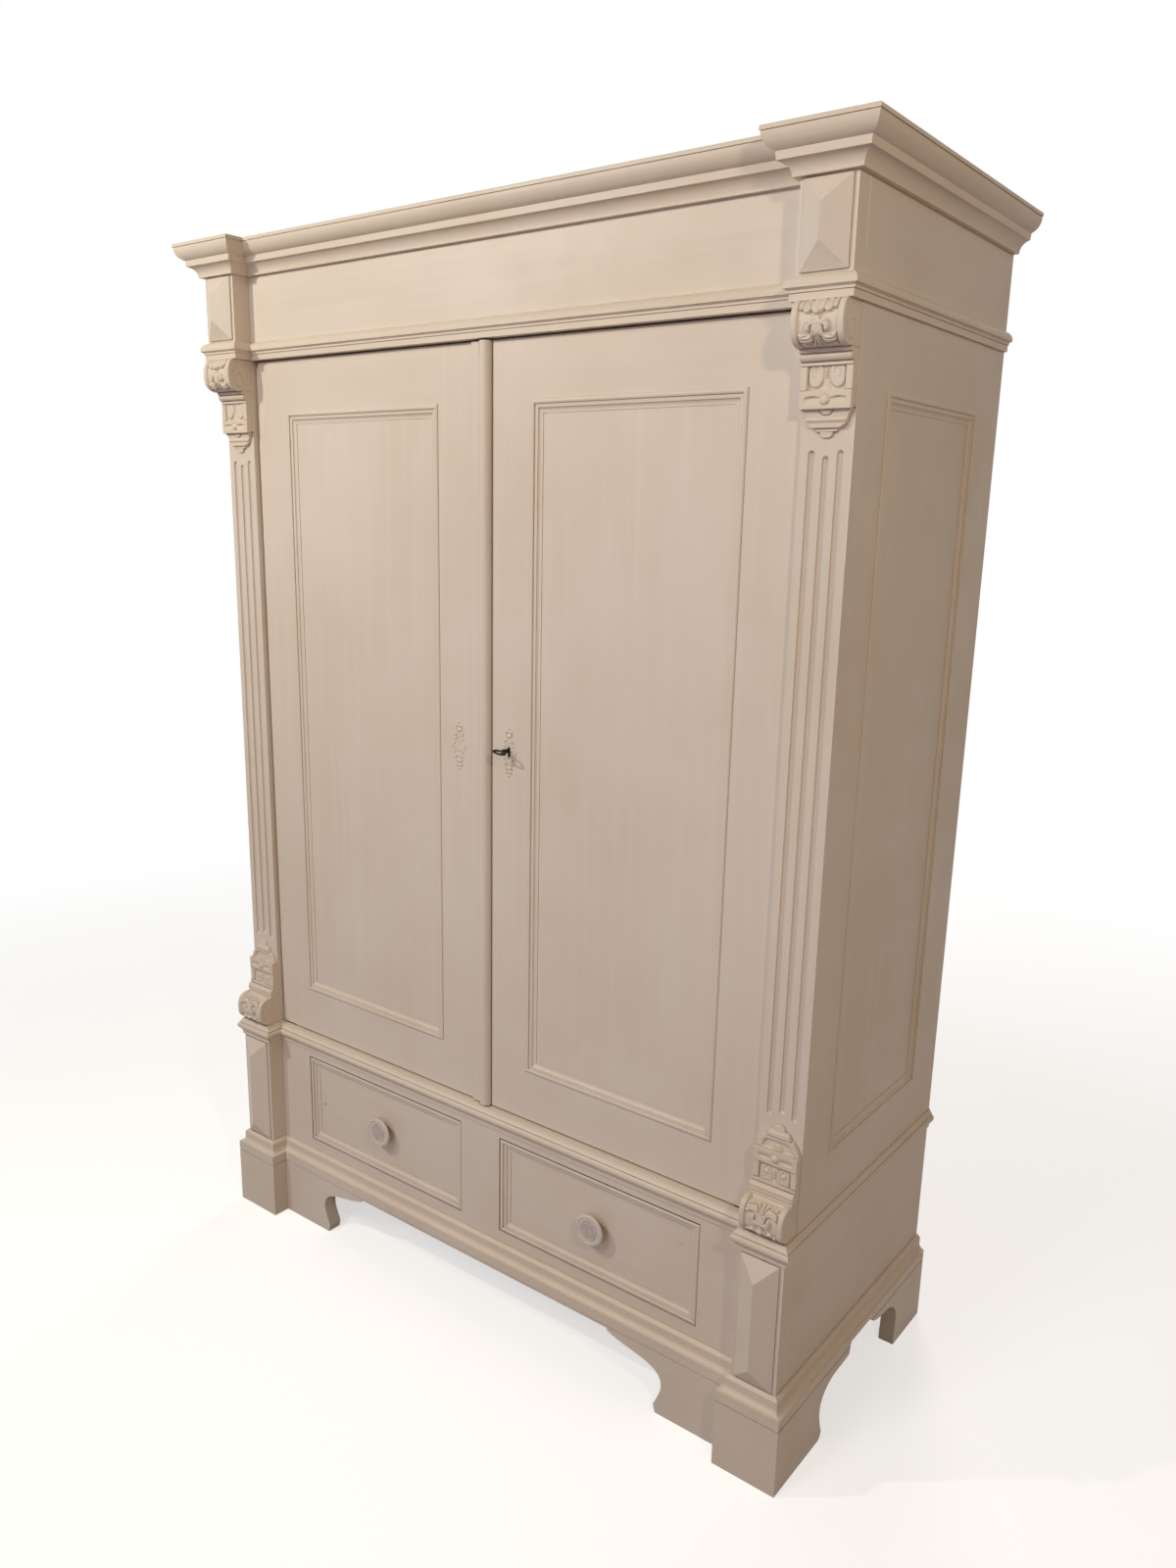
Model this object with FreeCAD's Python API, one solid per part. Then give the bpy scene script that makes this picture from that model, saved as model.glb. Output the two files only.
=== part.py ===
import FreeCAD, Part
import math
import os
from FreeCAD import Vector

# A two-door linen cupboard on a drawer base with bracket feet.
# Millimetres. +Z is up and the front faces -Y.
# The origin is on the floor, in the middle of the cupboard's bounding box.

# Whole cupboard
total_height = 2050.0
body_width = 1368.0
body_depth = 548.0
corner_width = 84.0
corner_projection = 36.0
cornice_projection = 42.0

# Heights from the floor up
plinth_board_height = 144.0
plinth_mould_height = 31.0
lower_rail_height = 23.0
drawer_opening_height = 199.0
upper_rail_height = 17.0
waist_mould_height = 38.0

# Heights from the top down
cornice_height = 58.5
frieze_height = 118.5
architrave_height = 32.0

# Board thicknesses
plinth_thickness = 30.0
side_board_thickness = 22.0
deck_thickness = 22.0
front_frame_thickness = 22.0
back_thickness = 22.0
bottom_thickness = 18.0
top_thickness = 14.0
side_frame_thickness = 26.0
pilaster_thickness = 24.0
overrun = 5.0

# Plinth and bracket feet
plinth_projection = 18.0
plinth_rail_gap = 60.0
bead_rise = 2.0
bead_width = 2.6
bead_depth = 1.2
front_bracket_length = 254.0
front_apron_height = 22.0
side_bracket_length = 206.0
side_edge_length = 82.0
side_apron_height = 11.0

# Moulding projections
waist_projection = 11.5
architrave_projection = 12.0

# Lozenges on the corner blocks
lozenge_side_margin = 7.0
lozenge_end_margin = 3.0
lozenge_edge = 3.0
lozenge_rise = 22.0
crown_hip_length = 34.0
base_hip_length = 36.0

# Pilasters and flutes
pilaster_width = 80.0
flute_spacing = 22.0
flute_width = 10.5
flute_bottom_margin = 192.0
flute_top_margin = 187.0
middle_flute_shortening = 7.5

# Corbels
corbel_side_gap = 0.8
corbel_end_thickness = 8.0
upper_corbel_projection = 49.0
upper_corbel_height = 132.0
upper_corbel_end_height = 40.0
lower_corbel_projection = 51.0
lower_corbel_height = 136.0
lower_corbel_end_height = 46.0
corbel_groove_width = 9.0
corbel_groove_depth = 2.0
corbel_boss_radius = 7.0
corbel_boss_rise = 3.0

# Doors
door_setback = 10.0
door_thickness = 22.0
door_bottom_gap = 3.0
door_top_gap = 3.0
door_side_gap = 1.5
door_meeting_gap = 2.0
left_door_reach = 20.0
inner_stile_edge = 106.0
outer_stile_width = 90.5
bottom_rail_width = 97.0
top_rail_width = 95.0
panel_recess = 5.5
panel_thickness = 10.0
panel_tongue = 8.0
door_mould_width = 22.0
door_mould_thickness = 8.5
stop_gap = 0.5
stop_thickness = 16.0
stop_height = 15.0
stop_end_gap = 40.0

# Meeting strip on the left door
strip_flat_width = 19.0
strip_flat_thickness = 5.0
strip_round_width = 23.0
strip_round_thickness = 13.5

# Pivot hinges
pivot_inset = 4.0
pivot_pin_radius = 2.2
pivot_clearance = 0.06
pivot_strap_margin = 0.8
pivot_strap_length = 36.0
pivot_strap_thickness = 2.5
pivot_collar_gap = 0.2
pivot_pin_engagement = 9.0
pivot_socket_wall_gap = 0.6
pivot_socket_end_gap = 2.0

# Escutcheons
escutcheon_setback = 44.5
escutcheon_rise = 697.0
escutcheon_width = 36.0
escutcheon_height = 90.0
escutcheon_thickness = 2.5
keyhole_height = 19.0
keyhole_gap = 0.3

# Lock
key_rise = 3.5
case_edge_margin = 4.0
case_end_margin = 8.0
case_depth = 13.0
case_proud = 1.0
case_wall = 1.5
bolt_setback = 0.6
bolt_height = 12.0
bolt_thickness = 5.0
bolt_throw = 14.0
bolt_clearance = 0.3
talon_width = 6.0
talon_height = 6.5
talon_notch_start = 10.5
talon_notch_end = 18.3
strike_thickness = 1.5
strike_height = 40.0
strike_margin = 4.0
mortise_clearance = 1.0

# Key
key_rest_angle = -9.0
key_shank_radius = 2.3
key_pin_shoulder = 0.4
key_pin_clearance = 0.05
key_end_gap = 0.3
key_bit_reach = 12.0
key_bit_thickness = 3.0
key_bit_length = 6.0
key_bow_centre = 26.0
key_bow_half_width = 11.5
key_bow_half_length = 8.5
key_bow_wire_radius = 1.5
key_collar_radius = 4.0
key_collar_length = 3.0

# Side panels
side_front_stile_width = 74.6
side_rear_stile_width = 101.5
side_bottom_rail_width = 98.0
side_top_rail_width = 102.0
side_panel_recess = 5.7
side_panel_thickness = 12.0
side_mould_width = 23.0
side_mould_thickness = 8.2

# Drawers
drawer_inner_edge = 50.0
drawer_end_margin = 94.0
drawer_gap = 1.2
drawer_run_gap = 0.3
drawer_field_recess = 9.0
drawer_front_thickness = 18.0
drawer_mould_width = 22.0
drawer_side_thickness = 12.0
drawer_side_drop = 27.0
drawer_back_gap = 46.0
drawer_base_thickness = 8.0
drawer_base_rise = 10.0
guide_height = 40.0
guide_width = 40.0
knob_radius = 30.0
knob_length = 21.5

# Shelves
shelf_count = 3
first_shelf_rise = 338.0
shelf_spacing = 340.0
shelf_thickness = 20.0
shelf_front_setback = 50.0
shelf_gap = 1.0
bearer_width = 25.0
bearer_height = 22.0
bearer_end_gap = 20.0
back_board_count = 5

# Moulding profiles: shares of the projection and of the height, from the lower back corner.
# A row of four numbers is an arc's middle and end.
plinth_mould_shares = [
    (0, 0), (1, 0), (1, 0.074), (0.556, 0.206, 0.444, 0.47), (0.444, 0.824), (0.167, 1), (0, 1),
]
waist_mould_shares = [
    (0, 0), (0.261, 0), (0.261, 0.048), (0.39, 0.238, 0.696, 0.357), (1, 0.531, 0.696, 0.702),
    (0.565, 0.714), (0.565, 0.738), (0.696, 0.762), (0.365, 0.857, 0.174, 1), (0, 1),
]
architrave_shares = [
    (0, 0), (0.417, 0), (0.417, 0.32), (0.583, 0.32), (0.583, 0.43), (0.75, 0.45),
    (0.75, 0.47), (1, 0.5), (1, 0.62), (0.68, 0.85, 0.1, 0.985), (0, 1),
]
cornice_shares = [
    (0, 0), (0.202, 0), (0.274, 0.18, 0.548, 0.324), (0.583, 0.324), (0.607, 0.504),
    (0.88, 0.66, 0.965, 0.86), (0.955, 0.897), (1, 0.897), (1, 0.95), (0.99, 0.985, 0.965, 1),
    (0, 1),
]
# Panel moulding: shares of the width, inwards from the outer edge, and of the thickness.
panel_mould_shares = [
    (0, 0), (0, 0.78), (0.16, 1, 0.34, 0.86), (0.34, 0.62), (0.62, 0.56), (0.62, 0.42),
    (0.74, 0.2, 0.94, 0.12), (1, 0.12), (1, 0),
]

# Hollows under the plinth boards: shares of the bracket's length, from the corner that it
# stands at, and of the straight edge's height. A list is a smooth curve through its points.
front_bracket_shares = [
    (1.01, -0.1), (1.01, 1), (1, 1), (0.992, 0.959),
    [(0.929, 0.914), (0.752, 0.836), (0.606, 0.754), (0.539, 0.656), (0.516, 0.484),
     (0.539, 0.303), (0.575, 0.131)],
    (0.545, -0.1),
]
side_bracket_shares = [
    (1.01, -0.1), (1.01, 1), (1, 1), (0.971, 0.827),
    [(0.767, 0.809), (0.553, 0.737), (0.451, 0.564), (0.451, 0.316), (0.5, 0.105)],
    (0.43, -0.1),
]
rear_bracket_shares = [
    (1.01, -0.1), (1.01, 1), (1, 1),
    [(0.94, 0.892), (0.79, 0.82), (0.585, 0.729), (0.5, 0.549), (0.49, 0.3), (0.5, 0.06)],
    (0.49, -0.1),
]

# Corbel, seen from its side: shares of the projection and of the body's height,
# from the end of the body up to the volute.
corbel_body_shares = [
    (0, 0), (0.286, 0), (0.286, 0.152), (0.224, 0.152), (0.224, 0.428), (0.255, 0.428),
    (0.285, 0.47, 0.347, 0.5), (0.41, 0.51, 0.43, 0.55), (0.449, 0.583),
    (0.87, 0.66, 1, 0.803), (0.939, 0.925, 0.735, 1), (0, 1),
]
# Half of the corbel's tapered end, seen from the front: shares of the half width and
# of the end's height.
corbel_end_shares = [
    (0, 1), (1, 1), (1, 0.93), (0.86, 0.86, 0.74, 0.66), (0.6, 0.42, 0.42, 0.36),
    (0.24, 0.36), (0.2, 0.12, 0, 0),
]
corbel_groove_level_share = 0.076
corbel_groove_offset_share = 0.48
corbel_groove_length_share = 0.5

# Meeting strip's round and knob: shares of the width or radius and of the thickness.
strip_round_shares = [(0, 0), (0, 0.15), (0.5, 1, 1, 0.15), (1, 0)]
knob_shares = [
    (0, 0), (0.55, 0), (0.55, 0.09), (0.38, 0.15), (0.35, 0.42), (0.5, 0.66, 0.9, 0.75),
    (1, 0.82, 0.97, 0.95), (0.93, 1), (0.87, 1), (0.85, 0.955), (0, 0.955),
]
# Quarter of the escutcheon's outline: shares of the half width and half height.
escutcheon_shares = [(0, 0), (1, 0), (0.86, 0.16), (0.6, 0.36, 0.42, 0.62), (0.16, 0.8), (0, 1)]

# Places worked out from the sizes above
plinth_height = plinth_board_height + plinth_mould_height
drawer_bottom_level = plinth_height + lower_rail_height
drawer_top_level = drawer_bottom_level + drawer_opening_height
waist_bottom_level = drawer_top_level + upper_rail_height
deck_level = waist_bottom_level + waist_mould_height
cornice_bottom_level = total_height - cornice_height
frieze_bottom_level = cornice_bottom_level - frieze_height
crown_bottom_level = frieze_bottom_level - architrave_height

half_body = body_width / 2
front = -(body_depth - corner_projection - cornice_projection) / 2
back = front + body_depth
corner_front = front - corner_projection
corner_inner = half_body - corner_width
crown_top = total_height - top_thickness
deck_bottom = deck_level - deck_thickness
back_inner = back - back_thickness
side_inner = half_body - side_board_thickness
plinth_half = half_body + plinth_projection
plinth_corner_inner = corner_inner - plinth_projection
plinth_front = front - plinth_projection
plinth_corner_front = corner_front - plinth_projection
plinth_board_back = plinth_front + plinth_thickness
front_edge_height = plinth_board_height - front_apron_height
side_edge_height = plinth_board_height - side_apron_height
rear_bracket_length = back - plinth_board_back - side_bracket_length - side_edge_length
bead_level = front_edge_height + bead_rise
pilaster_inner = half_body - pilaster_width
upper_inner = half_body - side_frame_thickness
flute_bottom_level = deck_level + flute_bottom_margin
flute_top_level = crown_bottom_level - flute_top_margin
first_shelf_level = deck_level + first_shelf_rise
drawer_outer_edge = corner_inner - drawer_end_margin

door_front = front + door_setback
door_back = door_front + door_thickness
door_bottom = deck_level + door_bottom_gap
door_top = crown_bottom_level - door_top_gap
door_outer = pilaster_inner - door_side_gap
right_door_edge = left_door_reach + door_meeting_gap
door_panel_front = door_front + panel_recess
door_panel_left = inner_stile_edge
door_panel_right = door_outer - outer_stile_width
door_panel_bottom = door_bottom + bottom_rail_width
door_panel_top = door_top - top_rail_width
pivot_x = door_outer - pivot_inset
pivot_y = door_front + pivot_inset
pivot_strap_radius = pivot_inset - pivot_strap_margin
stop_front = door_back + stop_gap
escutcheon_offset = inner_stile_edge - escutcheon_setback
escutcheon_level = door_bottom + escutcheon_rise
key_level = escutcheon_level + key_rise

bolt_left = right_door_edge + bolt_setback
bolt_right = escutcheon_offset + talon_notch_end + talon_width
bolt_bottom = key_level + key_bit_reach + 2 * bolt_clearance
bolt_top = bolt_bottom + bolt_height
case_x = (right_door_edge + case_edge_margin, bolt_right + case_end_margin)
case_y = (door_back + case_proud - case_depth, door_back + case_proud)
case_z = (key_level - key_bit_reach - case_end_margin, bolt_top + case_end_margin)
bolt_front = (sum(case_y) - bolt_thickness) / 2
bolt_y = (bolt_front, bolt_front + bolt_thickness)
key_pin_radius = key_shank_radius - key_pin_shoulder
keyhole_radius = key_shank_radius + keyhole_gap


def box(x_span, y_span, z_span):
    corner = Vector(x_span[0], y_span[0], z_span[0])
    sizes = [span[1] - span[0] for span in (x_span, y_span, z_span)]
    return Part.makeBox(*sizes, corner)


def mirrored(shape):
    return shape.mirror(Vector(0, 0, 0), Vector(1, 0, 0))


def both_sides(shape):
    return [shape, mirrored(shape)]


def moved(shape, x, y, z):
    copy = shape.copy()
    copy.translate(Vector(x, y, z))
    return copy


def save(node, solids):
    shape = solids[0] if len(solids) == 1 else Part.makeCompound(solids)
    shape.exportStep("parts/" + node + ".step")


def outline_face(rows, width, height):
    """A face in the XZ plane whose points are shares of a width and a height."""
    def place(u, v):
        return Vector(u * width, 0, v * height)

    first = place(*rows[0])
    last = first
    edges = []
    for row in rows[1:]:
        if isinstance(row, list):
            points = [last] + [place(*pair) for pair in row]
            curve = Part.BSplineCurve()
            curve.interpolate(points)
            edges.append(curve.toShape())
            last = points[-1]
        elif len(row) == 4:
            end = place(*row[2:])
            edges.append(Part.Arc(last, place(*row[:2]), end).toShape())
            last = end
        else:
            end = place(*row)
            edges.append(Part.LineSegment(last, end).toShape())
            last = end
    if last != first:
        edges.append(Part.LineSegment(last, first).toShape())
    return Part.Face(Part.Wire(edges))


def slab(rows, width, height, thickness):
    """An outline in the XZ plane given a thickness along +Y."""
    return outline_face(rows, width, height).extrude(Vector(0, thickness, 0))


def mitred_lengths(rows, width, height, path, closed=False):
    """One solid for each straight run of a path in the XY plane.

    The profile stands up along +Z, and its width goes to the right of the path.
    """
    count = len(path)
    points = [Vector(x, y, 0) for x, y in path]
    run_count = count if closed else count - 1
    along = []
    for index in range(run_count):
        step = points[(index + 1) % count] - points[index]
        along.append(step.normalize())
    right = [Vector(step.y, -step.x, 0) for step in along]

    def mitre(index):
        before = right[index - 1] if (closed or index > 0) else right[0]
        after = right[index % run_count] if (closed or index < run_count) else right[-1]
        return (before + after) * (1 / (1 + before.dot(after)))

    solids = []
    for index in range(run_count):
        start = points[index]
        end = points[(index + 1) % count]
        start_mitre = mitre(index)
        end_mitre = mitre((index + 1) % count if closed else index + 1)
        length = (end - start).Length
        bar = slab(rows, width, height, length + 2 * width)
        bar.translate(Vector(0, -width, 0))
        turn = math.degrees(math.atan2(right[index].y, right[index].x))
        bar.rotate(Vector(0, 0, 0), Vector(0, 0, 1), turn)
        bar.translate(start)
        reach = width + overrun
        corners = [
            start - start_mitre * overrun,
            end - end_mitre * overrun,
            end + end_mitre * reach,
            start + start_mitre * reach,
        ]
        wedge = Part.Face(Part.makePolygon(corners + corners[:1]))
        wedge.translate(Vector(0, 0, -overrun))
        wedge = wedge.extrude(Vector(0, 0, height + 2 * overrun))
        solids += bar.common(wedge).Solids
    return solids


def wrapped(rows, projection, bottom, top):
    """A moulding mitred round the cupboard's front and sides, corner blocks included."""
    half_path = [
        (half_body, back), (half_body, corner_front), (corner_inner, corner_front),
        (corner_inner, front),
    ]
    path = [(-x, y) for x, y in half_path] + half_path[::-1]
    lengths = mitred_lengths(rows, projection, top - bottom, path)
    return [moved(length, 0, 0, bottom) for length in lengths]


def ring_on_front(width, thickness, x_span, y, z_span):
    """Four mitred panel mouldings standing forward from a plane."""
    path = [
        (x_span[0], z_span[0]), (x_span[0], z_span[1]), (x_span[1], z_span[1]),
        (x_span[1], z_span[0]),
    ]
    lengths = mitred_lengths(panel_mould_shares, width, thickness, path, closed=True)
    for length in lengths:
        length.rotate(Vector(0, 0, 0), Vector(1, 0, 0), 90)
        length.translate(Vector(0, y, 0))
    return lengths


def ring_on_side(width, thickness, x, y_span, z_span):
    """Four mitred panel mouldings standing out from the right side."""
    path = [
        (y_span[0], z_span[0]), (y_span[0], z_span[1]), (y_span[1], z_span[1]),
        (y_span[1], z_span[0]),
    ]
    lengths = mitred_lengths(panel_mould_shares, width, thickness, path, closed=True)
    for length in lengths:
        length.rotate(Vector(0, 0, 0), Vector(1, 1, 1), 120)
        length.translate(Vector(x, 0, 0))
    return lengths


# Plinth


def make_plinth():
    front_board = box(
        (-plinth_corner_inner, plinth_corner_inner),
        (plinth_front, plinth_board_back), (0, plinth_board_height))
    straight_half = plinth_corner_inner - front_bracket_length
    middle = box(
        (-straight_half, straight_half), (plinth_front - overrun, plinth_board_back + overrun),
        (-overrun, front_edge_height))
    hollow = slab(
        front_bracket_shares, -front_bracket_length, front_edge_height,
        plinth_thickness + 2 * overrun)
    hollow.translate(Vector(plinth_corner_inner, plinth_front - overrun, 0))
    bead = box(
        (-plinth_corner_inner, plinth_corner_inner),
        (plinth_front - overrun, plinth_front + bead_depth),
        (bead_level, bead_level + bead_width))
    front_board = front_board.cut([middle, bead] + both_sides(hollow))
    save("plinth_front_board", front_board.Solids)

    corner = box(
        (plinth_corner_inner, plinth_half), (plinth_corner_front, plinth_board_back),
        (0, plinth_board_height))
    bead_span = (bead_level, bead_level + bead_width)
    corner_beads = [
        box((plinth_corner_inner - overrun, plinth_half + overrun),
            (plinth_corner_front - overrun, plinth_corner_front + bead_depth), bead_span),
        box((plinth_half - bead_depth, plinth_half + overrun),
            (plinth_corner_front - overrun, plinth_board_back), bead_span),
        box((plinth_corner_inner - overrun, plinth_corner_inner + bead_depth),
            (plinth_corner_front - overrun, plinth_front), bead_span),
    ]
    save("plinth_corner_blocks", both_sides(corner.cut(corner_beads)))

    side = box(
        (plinth_half - plinth_thickness, plinth_half), (plinth_board_back, back),
        (0, plinth_board_height))
    through = plinth_thickness + 2 * overrun
    front_hollow = slab(side_bracket_shares, side_bracket_length, side_edge_height, through)
    rear_hollow = slab(rear_bracket_shares, -rear_bracket_length, side_edge_height, through)
    cuts = [box(
        (plinth_half - plinth_thickness - overrun, plinth_half + overrun),
        (plinth_board_back + side_bracket_length, back - rear_bracket_length),
        (-overrun, side_edge_height))]
    for hollow, start in ((front_hollow, plinth_board_back), (rear_hollow, back)):
        hollow.rotate(Vector(0, 0, 0), Vector(0, 0, 1), 90)
        hollow.translate(Vector(plinth_half + overrun, start, 0))
        cuts.append(hollow)
    cuts.append(box(
        (plinth_half - bead_depth, plinth_half + overrun), (plinth_board_back, back), bead_span))
    save("plinth_side_boards", both_sides(side.cut(cuts)))

    rail_half = plinth_half - plinth_thickness
    rail = box((-rail_half, rail_half), (back_inner, back), (plinth_rail_gap, plinth_board_height))
    save("plinth_back_rail", [rail])
    save("plinth_moulding", wrapped(
        plinth_mould_shares, plinth_projection, plinth_board_height, plinth_height))


# Drawer base


def lozenge(bottom, top, hip_length):
    """A hipped lozenge on the right corner block's front face."""
    x_span = (corner_inner + lozenge_side_margin, half_body - lozenge_side_margin)
    middle_x = sum(x_span) / 2
    bottom += lozenge_end_margin
    top -= lozenge_end_margin
    shoulder = corner_front - lozenge_edge
    peak = corner_front - lozenge_rise
    backing = box(x_span, (shoulder, corner_front), (bottom, top))
    corners = [
        Vector(x_span[0], shoulder, bottom), Vector(x_span[1], shoulder, bottom),
        Vector(x_span[1], shoulder, top), Vector(x_span[0], shoulder, top),
    ]
    low = Vector(middle_x, peak, bottom + hip_length)
    high = Vector(middle_x, peak, top - hip_length)
    loops = [
        corners,
        [corners[0], corners[1], low],
        [corners[1], corners[2], high, low],
        [corners[2], corners[3], high],
        [corners[3], corners[0], low, high],
    ]
    faces = [Part.Face(Part.makePolygon(loop + loop[:1])) for loop in loops]
    hips = Part.Solid(Part.Shell(faces))
    return backing.fuse(hips).removeSplitter()


def make_base():
    side = box((side_inner, half_body), (front, back), (plinth_board_height, deck_bottom))
    save("base_side_boards", both_sides(side))
    block = box(
        (corner_inner, half_body), (corner_front, front), (plinth_board_height, deck_bottom))
    save("base_corner_blocks", both_sides(block))
    save("base_lozenges", both_sides(lozenge(plinth_height, waist_bottom_level, base_hip_length)))

    frame_y = (front, front + front_frame_thickness)
    stile_z = (drawer_bottom_level, drawer_top_level)
    outer_stile = box((drawer_outer_edge, side_inner), frame_y, stile_z)
    rails = [
        box((-side_inner, side_inner), frame_y, (plinth_board_height, drawer_bottom_level)),
        box((-side_inner, side_inner), frame_y, (drawer_top_level, deck_bottom)),
    ]
    middle_stile = box((-drawer_inner_edge, drawer_inner_edge), frame_y, stile_z)
    save("base_front_frame", rails + [middle_stile] + both_sides(outer_stile))

    inside_y = (front + front_frame_thickness, back_inner)
    bottom = box(
        (-side_inner, side_inner), inside_y,
        (drawer_bottom_level - bottom_thickness, drawer_bottom_level))
    save("base_bottom_board", [bottom])
    base_back = box(
        (-side_inner, side_inner), (back_inner, back), (plinth_board_height, deck_bottom))
    save("base_back_board", [base_back])
    guide_z = (drawer_bottom_level, drawer_bottom_level + guide_height)
    middle_guide = box((-drawer_inner_edge, drawer_inner_edge), inside_y, guide_z)
    outer_guide = box((drawer_outer_edge, drawer_outer_edge + guide_width), inside_y, guide_z)
    save("drawer_guides", [middle_guide] + both_sides(outer_guide))
    save("waist_moulding", wrapped(
        waist_mould_shares, waist_projection, waist_bottom_level, deck_level))


def board_and_ears(bottom, top):
    """A board over the whole plan, and its two ears over the corner blocks."""
    board = box((-half_body, half_body), (front, back), (bottom, top))
    ear = box((corner_inner, half_body), (corner_front, front), (bottom, top))
    return [board] + both_sides(ear)


def make_deck():
    deck, *ears = board_and_ears(deck_bottom, deck_level)
    recess = pivot_strap(deck_level - pivot_strap_thickness, pivot_strap_thickness + overrun)
    save("deck_board", [deck.cut(both_sides(recess))] + ears)


# Pilasters and corbels


def make_pilasters():
    board = box(
        (pilaster_inner, half_body), (front, front + pilaster_thickness),
        (deck_level, crown_bottom_level))
    middle_x = (pilaster_inner + half_body) / 2
    radius = flute_width / 2
    cuts = []
    for step in (-1, 0, 1):
        shorter = 0 if step else middle_flute_shortening
        low = flute_bottom_level + radius + shorter
        high = flute_top_level - radius - shorter
        x = middle_x + step * flute_spacing
        shaft = Part.makeCylinder(radius, high - low, Vector(x, front, low))
        ends = [Part.makeSphere(radius, Vector(x, front, level)) for level in (low, high)]
        cuts.append(shaft.fuse(ends))
    board = board.cut(cuts)
    save("pilaster_right", [board])
    save("pilaster_left", [mirrored(board)])


def corbel(projection, body_height, end_height):
    """A corbel on the right pilaster, volute uppermost, the end of its body at zero."""
    half_width = pilaster_width / 2 - corbel_side_gap
    middle_x = (pilaster_inner + half_body) / 2
    body = slab(corbel_body_shares, projection, body_height, 2 * half_width)
    body.rotate(Vector(0, 0, 0), Vector(0, 0, 1), -90)
    body.translate(Vector(middle_x - half_width, front, 0))
    end = slab(corbel_end_shares, half_width, end_height, corbel_end_thickness)
    end = end.fuse(mirrored(end))
    end.translate(Vector(middle_x, front - corbel_end_thickness, -end_height))
    shape = body.fuse(end).removeSplitter()

    face = front - corbel_body_shares[1][0] * projection
    level = corbel_groove_level_share * body_height
    groove_radius = corbel_groove_width / 2
    groove_length = corbel_groove_length_share * half_width
    groove_y = face - groove_radius + corbel_groove_depth
    for side in (-1, 1):
        groove_x = middle_x + side * corbel_groove_offset_share * half_width
        start = Vector(groove_x - groove_length / 2, groove_y, level)
        groove = Part.makeCylinder(groove_radius, groove_length, start, Vector(1, 0, 0))
        shape = shape.cut(groove)
    boss = Part.makeCone(
        corbel_boss_radius, corbel_boss_radius - corbel_boss_rise, corbel_boss_rise,
        Vector(middle_x, face, level), Vector(0, -1, 0))
    return shape.fuse(boss)


def make_corbels():
    upper = corbel(upper_corbel_projection, upper_corbel_height, upper_corbel_end_height)
    upper.translate(Vector(0, 0, crown_bottom_level - upper_corbel_height))
    lower = corbel(lower_corbel_projection, lower_corbel_height, lower_corbel_end_height)
    lower = lower.mirror(Vector(0, 0, 0), Vector(0, 0, 1))
    lower.translate(Vector(0, 0, deck_level + lower_corbel_height))
    for name, shape in (("upper", upper), ("lower", lower)):
        save("corbel_" + name + "_right", [shape])
        save("corbel_" + name + "_left", [mirrored(shape)])


# Sides, back and shelves


def framed(panel, members):
    """Frame members grooved for a panel's tongues."""
    return [member.cut(panel) for member in members]


def make_sides():
    y_front = front + pilaster_thickness
    y_span = (y_front + side_front_stile_width, back - side_rear_stile_width)
    z_span = (deck_level + side_bottom_rail_width, crown_bottom_level - side_top_rail_width)
    x_span = (upper_inner, half_body)
    full_z = (deck_level, crown_bottom_level)
    members = [
        box(x_span, (y_front, y_span[0]), full_z),
        box(x_span, (y_span[1], back), full_z),
        box(x_span, y_span, (deck_level, z_span[0])),
        box(x_span, y_span, (z_span[1], crown_bottom_level)),
    ]
    panel_face = half_body - side_panel_recess
    panel = box(
        (panel_face - side_panel_thickness, panel_face),
        (y_span[0] - panel_tongue, y_span[1] + panel_tongue),
        (z_span[0] - panel_tongue, z_span[1] + panel_tongue))
    frame = framed(panel, members)
    mould = ring_on_side(side_mould_width, side_mould_thickness, panel_face, y_span, z_span)
    for node, solids in (("side_frames", frame), ("side_mouldings", mould)):
        save(node, solids + [mirrored(solid) for solid in solids])
    save("side_panel_right", [panel])
    save("side_panel_left", [mirrored(panel)])


def make_back_and_shelves():
    board_width = 2 * upper_inner / back_board_count
    boards = []
    for index in range(back_board_count):
        left = -upper_inner + index * board_width
        boards.append(box(
            (left, left + board_width), (back_inner, back), (deck_level, crown_bottom_level)))
    save("back_boards", boards)

    shelf_half = upper_inner - shelf_gap
    shelf_y = (front + shelf_front_setback, back_inner - shelf_gap)
    bearer_y = (shelf_y[0] + bearer_end_gap, shelf_y[1] - bearer_end_gap)
    shelves = []
    bearers = []
    for index in range(shelf_count):
        level = first_shelf_level + index * shelf_spacing
        shelves.append(box((-shelf_half, shelf_half), shelf_y, (level, level + shelf_thickness)))
        bearer = box((upper_inner - bearer_width, upper_inner), bearer_y,
                     (level - bearer_height, level))
        bearers += both_sides(bearer)
    save("shelves", shelves)
    save("shelf_bearers", bearers)

    stop_half = door_outer - stop_end_gap
    stop_y = (stop_front, stop_front + stop_thickness)
    stop_x = (-stop_half, stop_half)
    stops = [
        box(stop_x, stop_y, (deck_level, deck_level + stop_height)),
        box(stop_x, stop_y, (door_top - stop_height, crown_bottom_level + stop_height)),
    ]
    save("door_stops", stops)


# Crown


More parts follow.
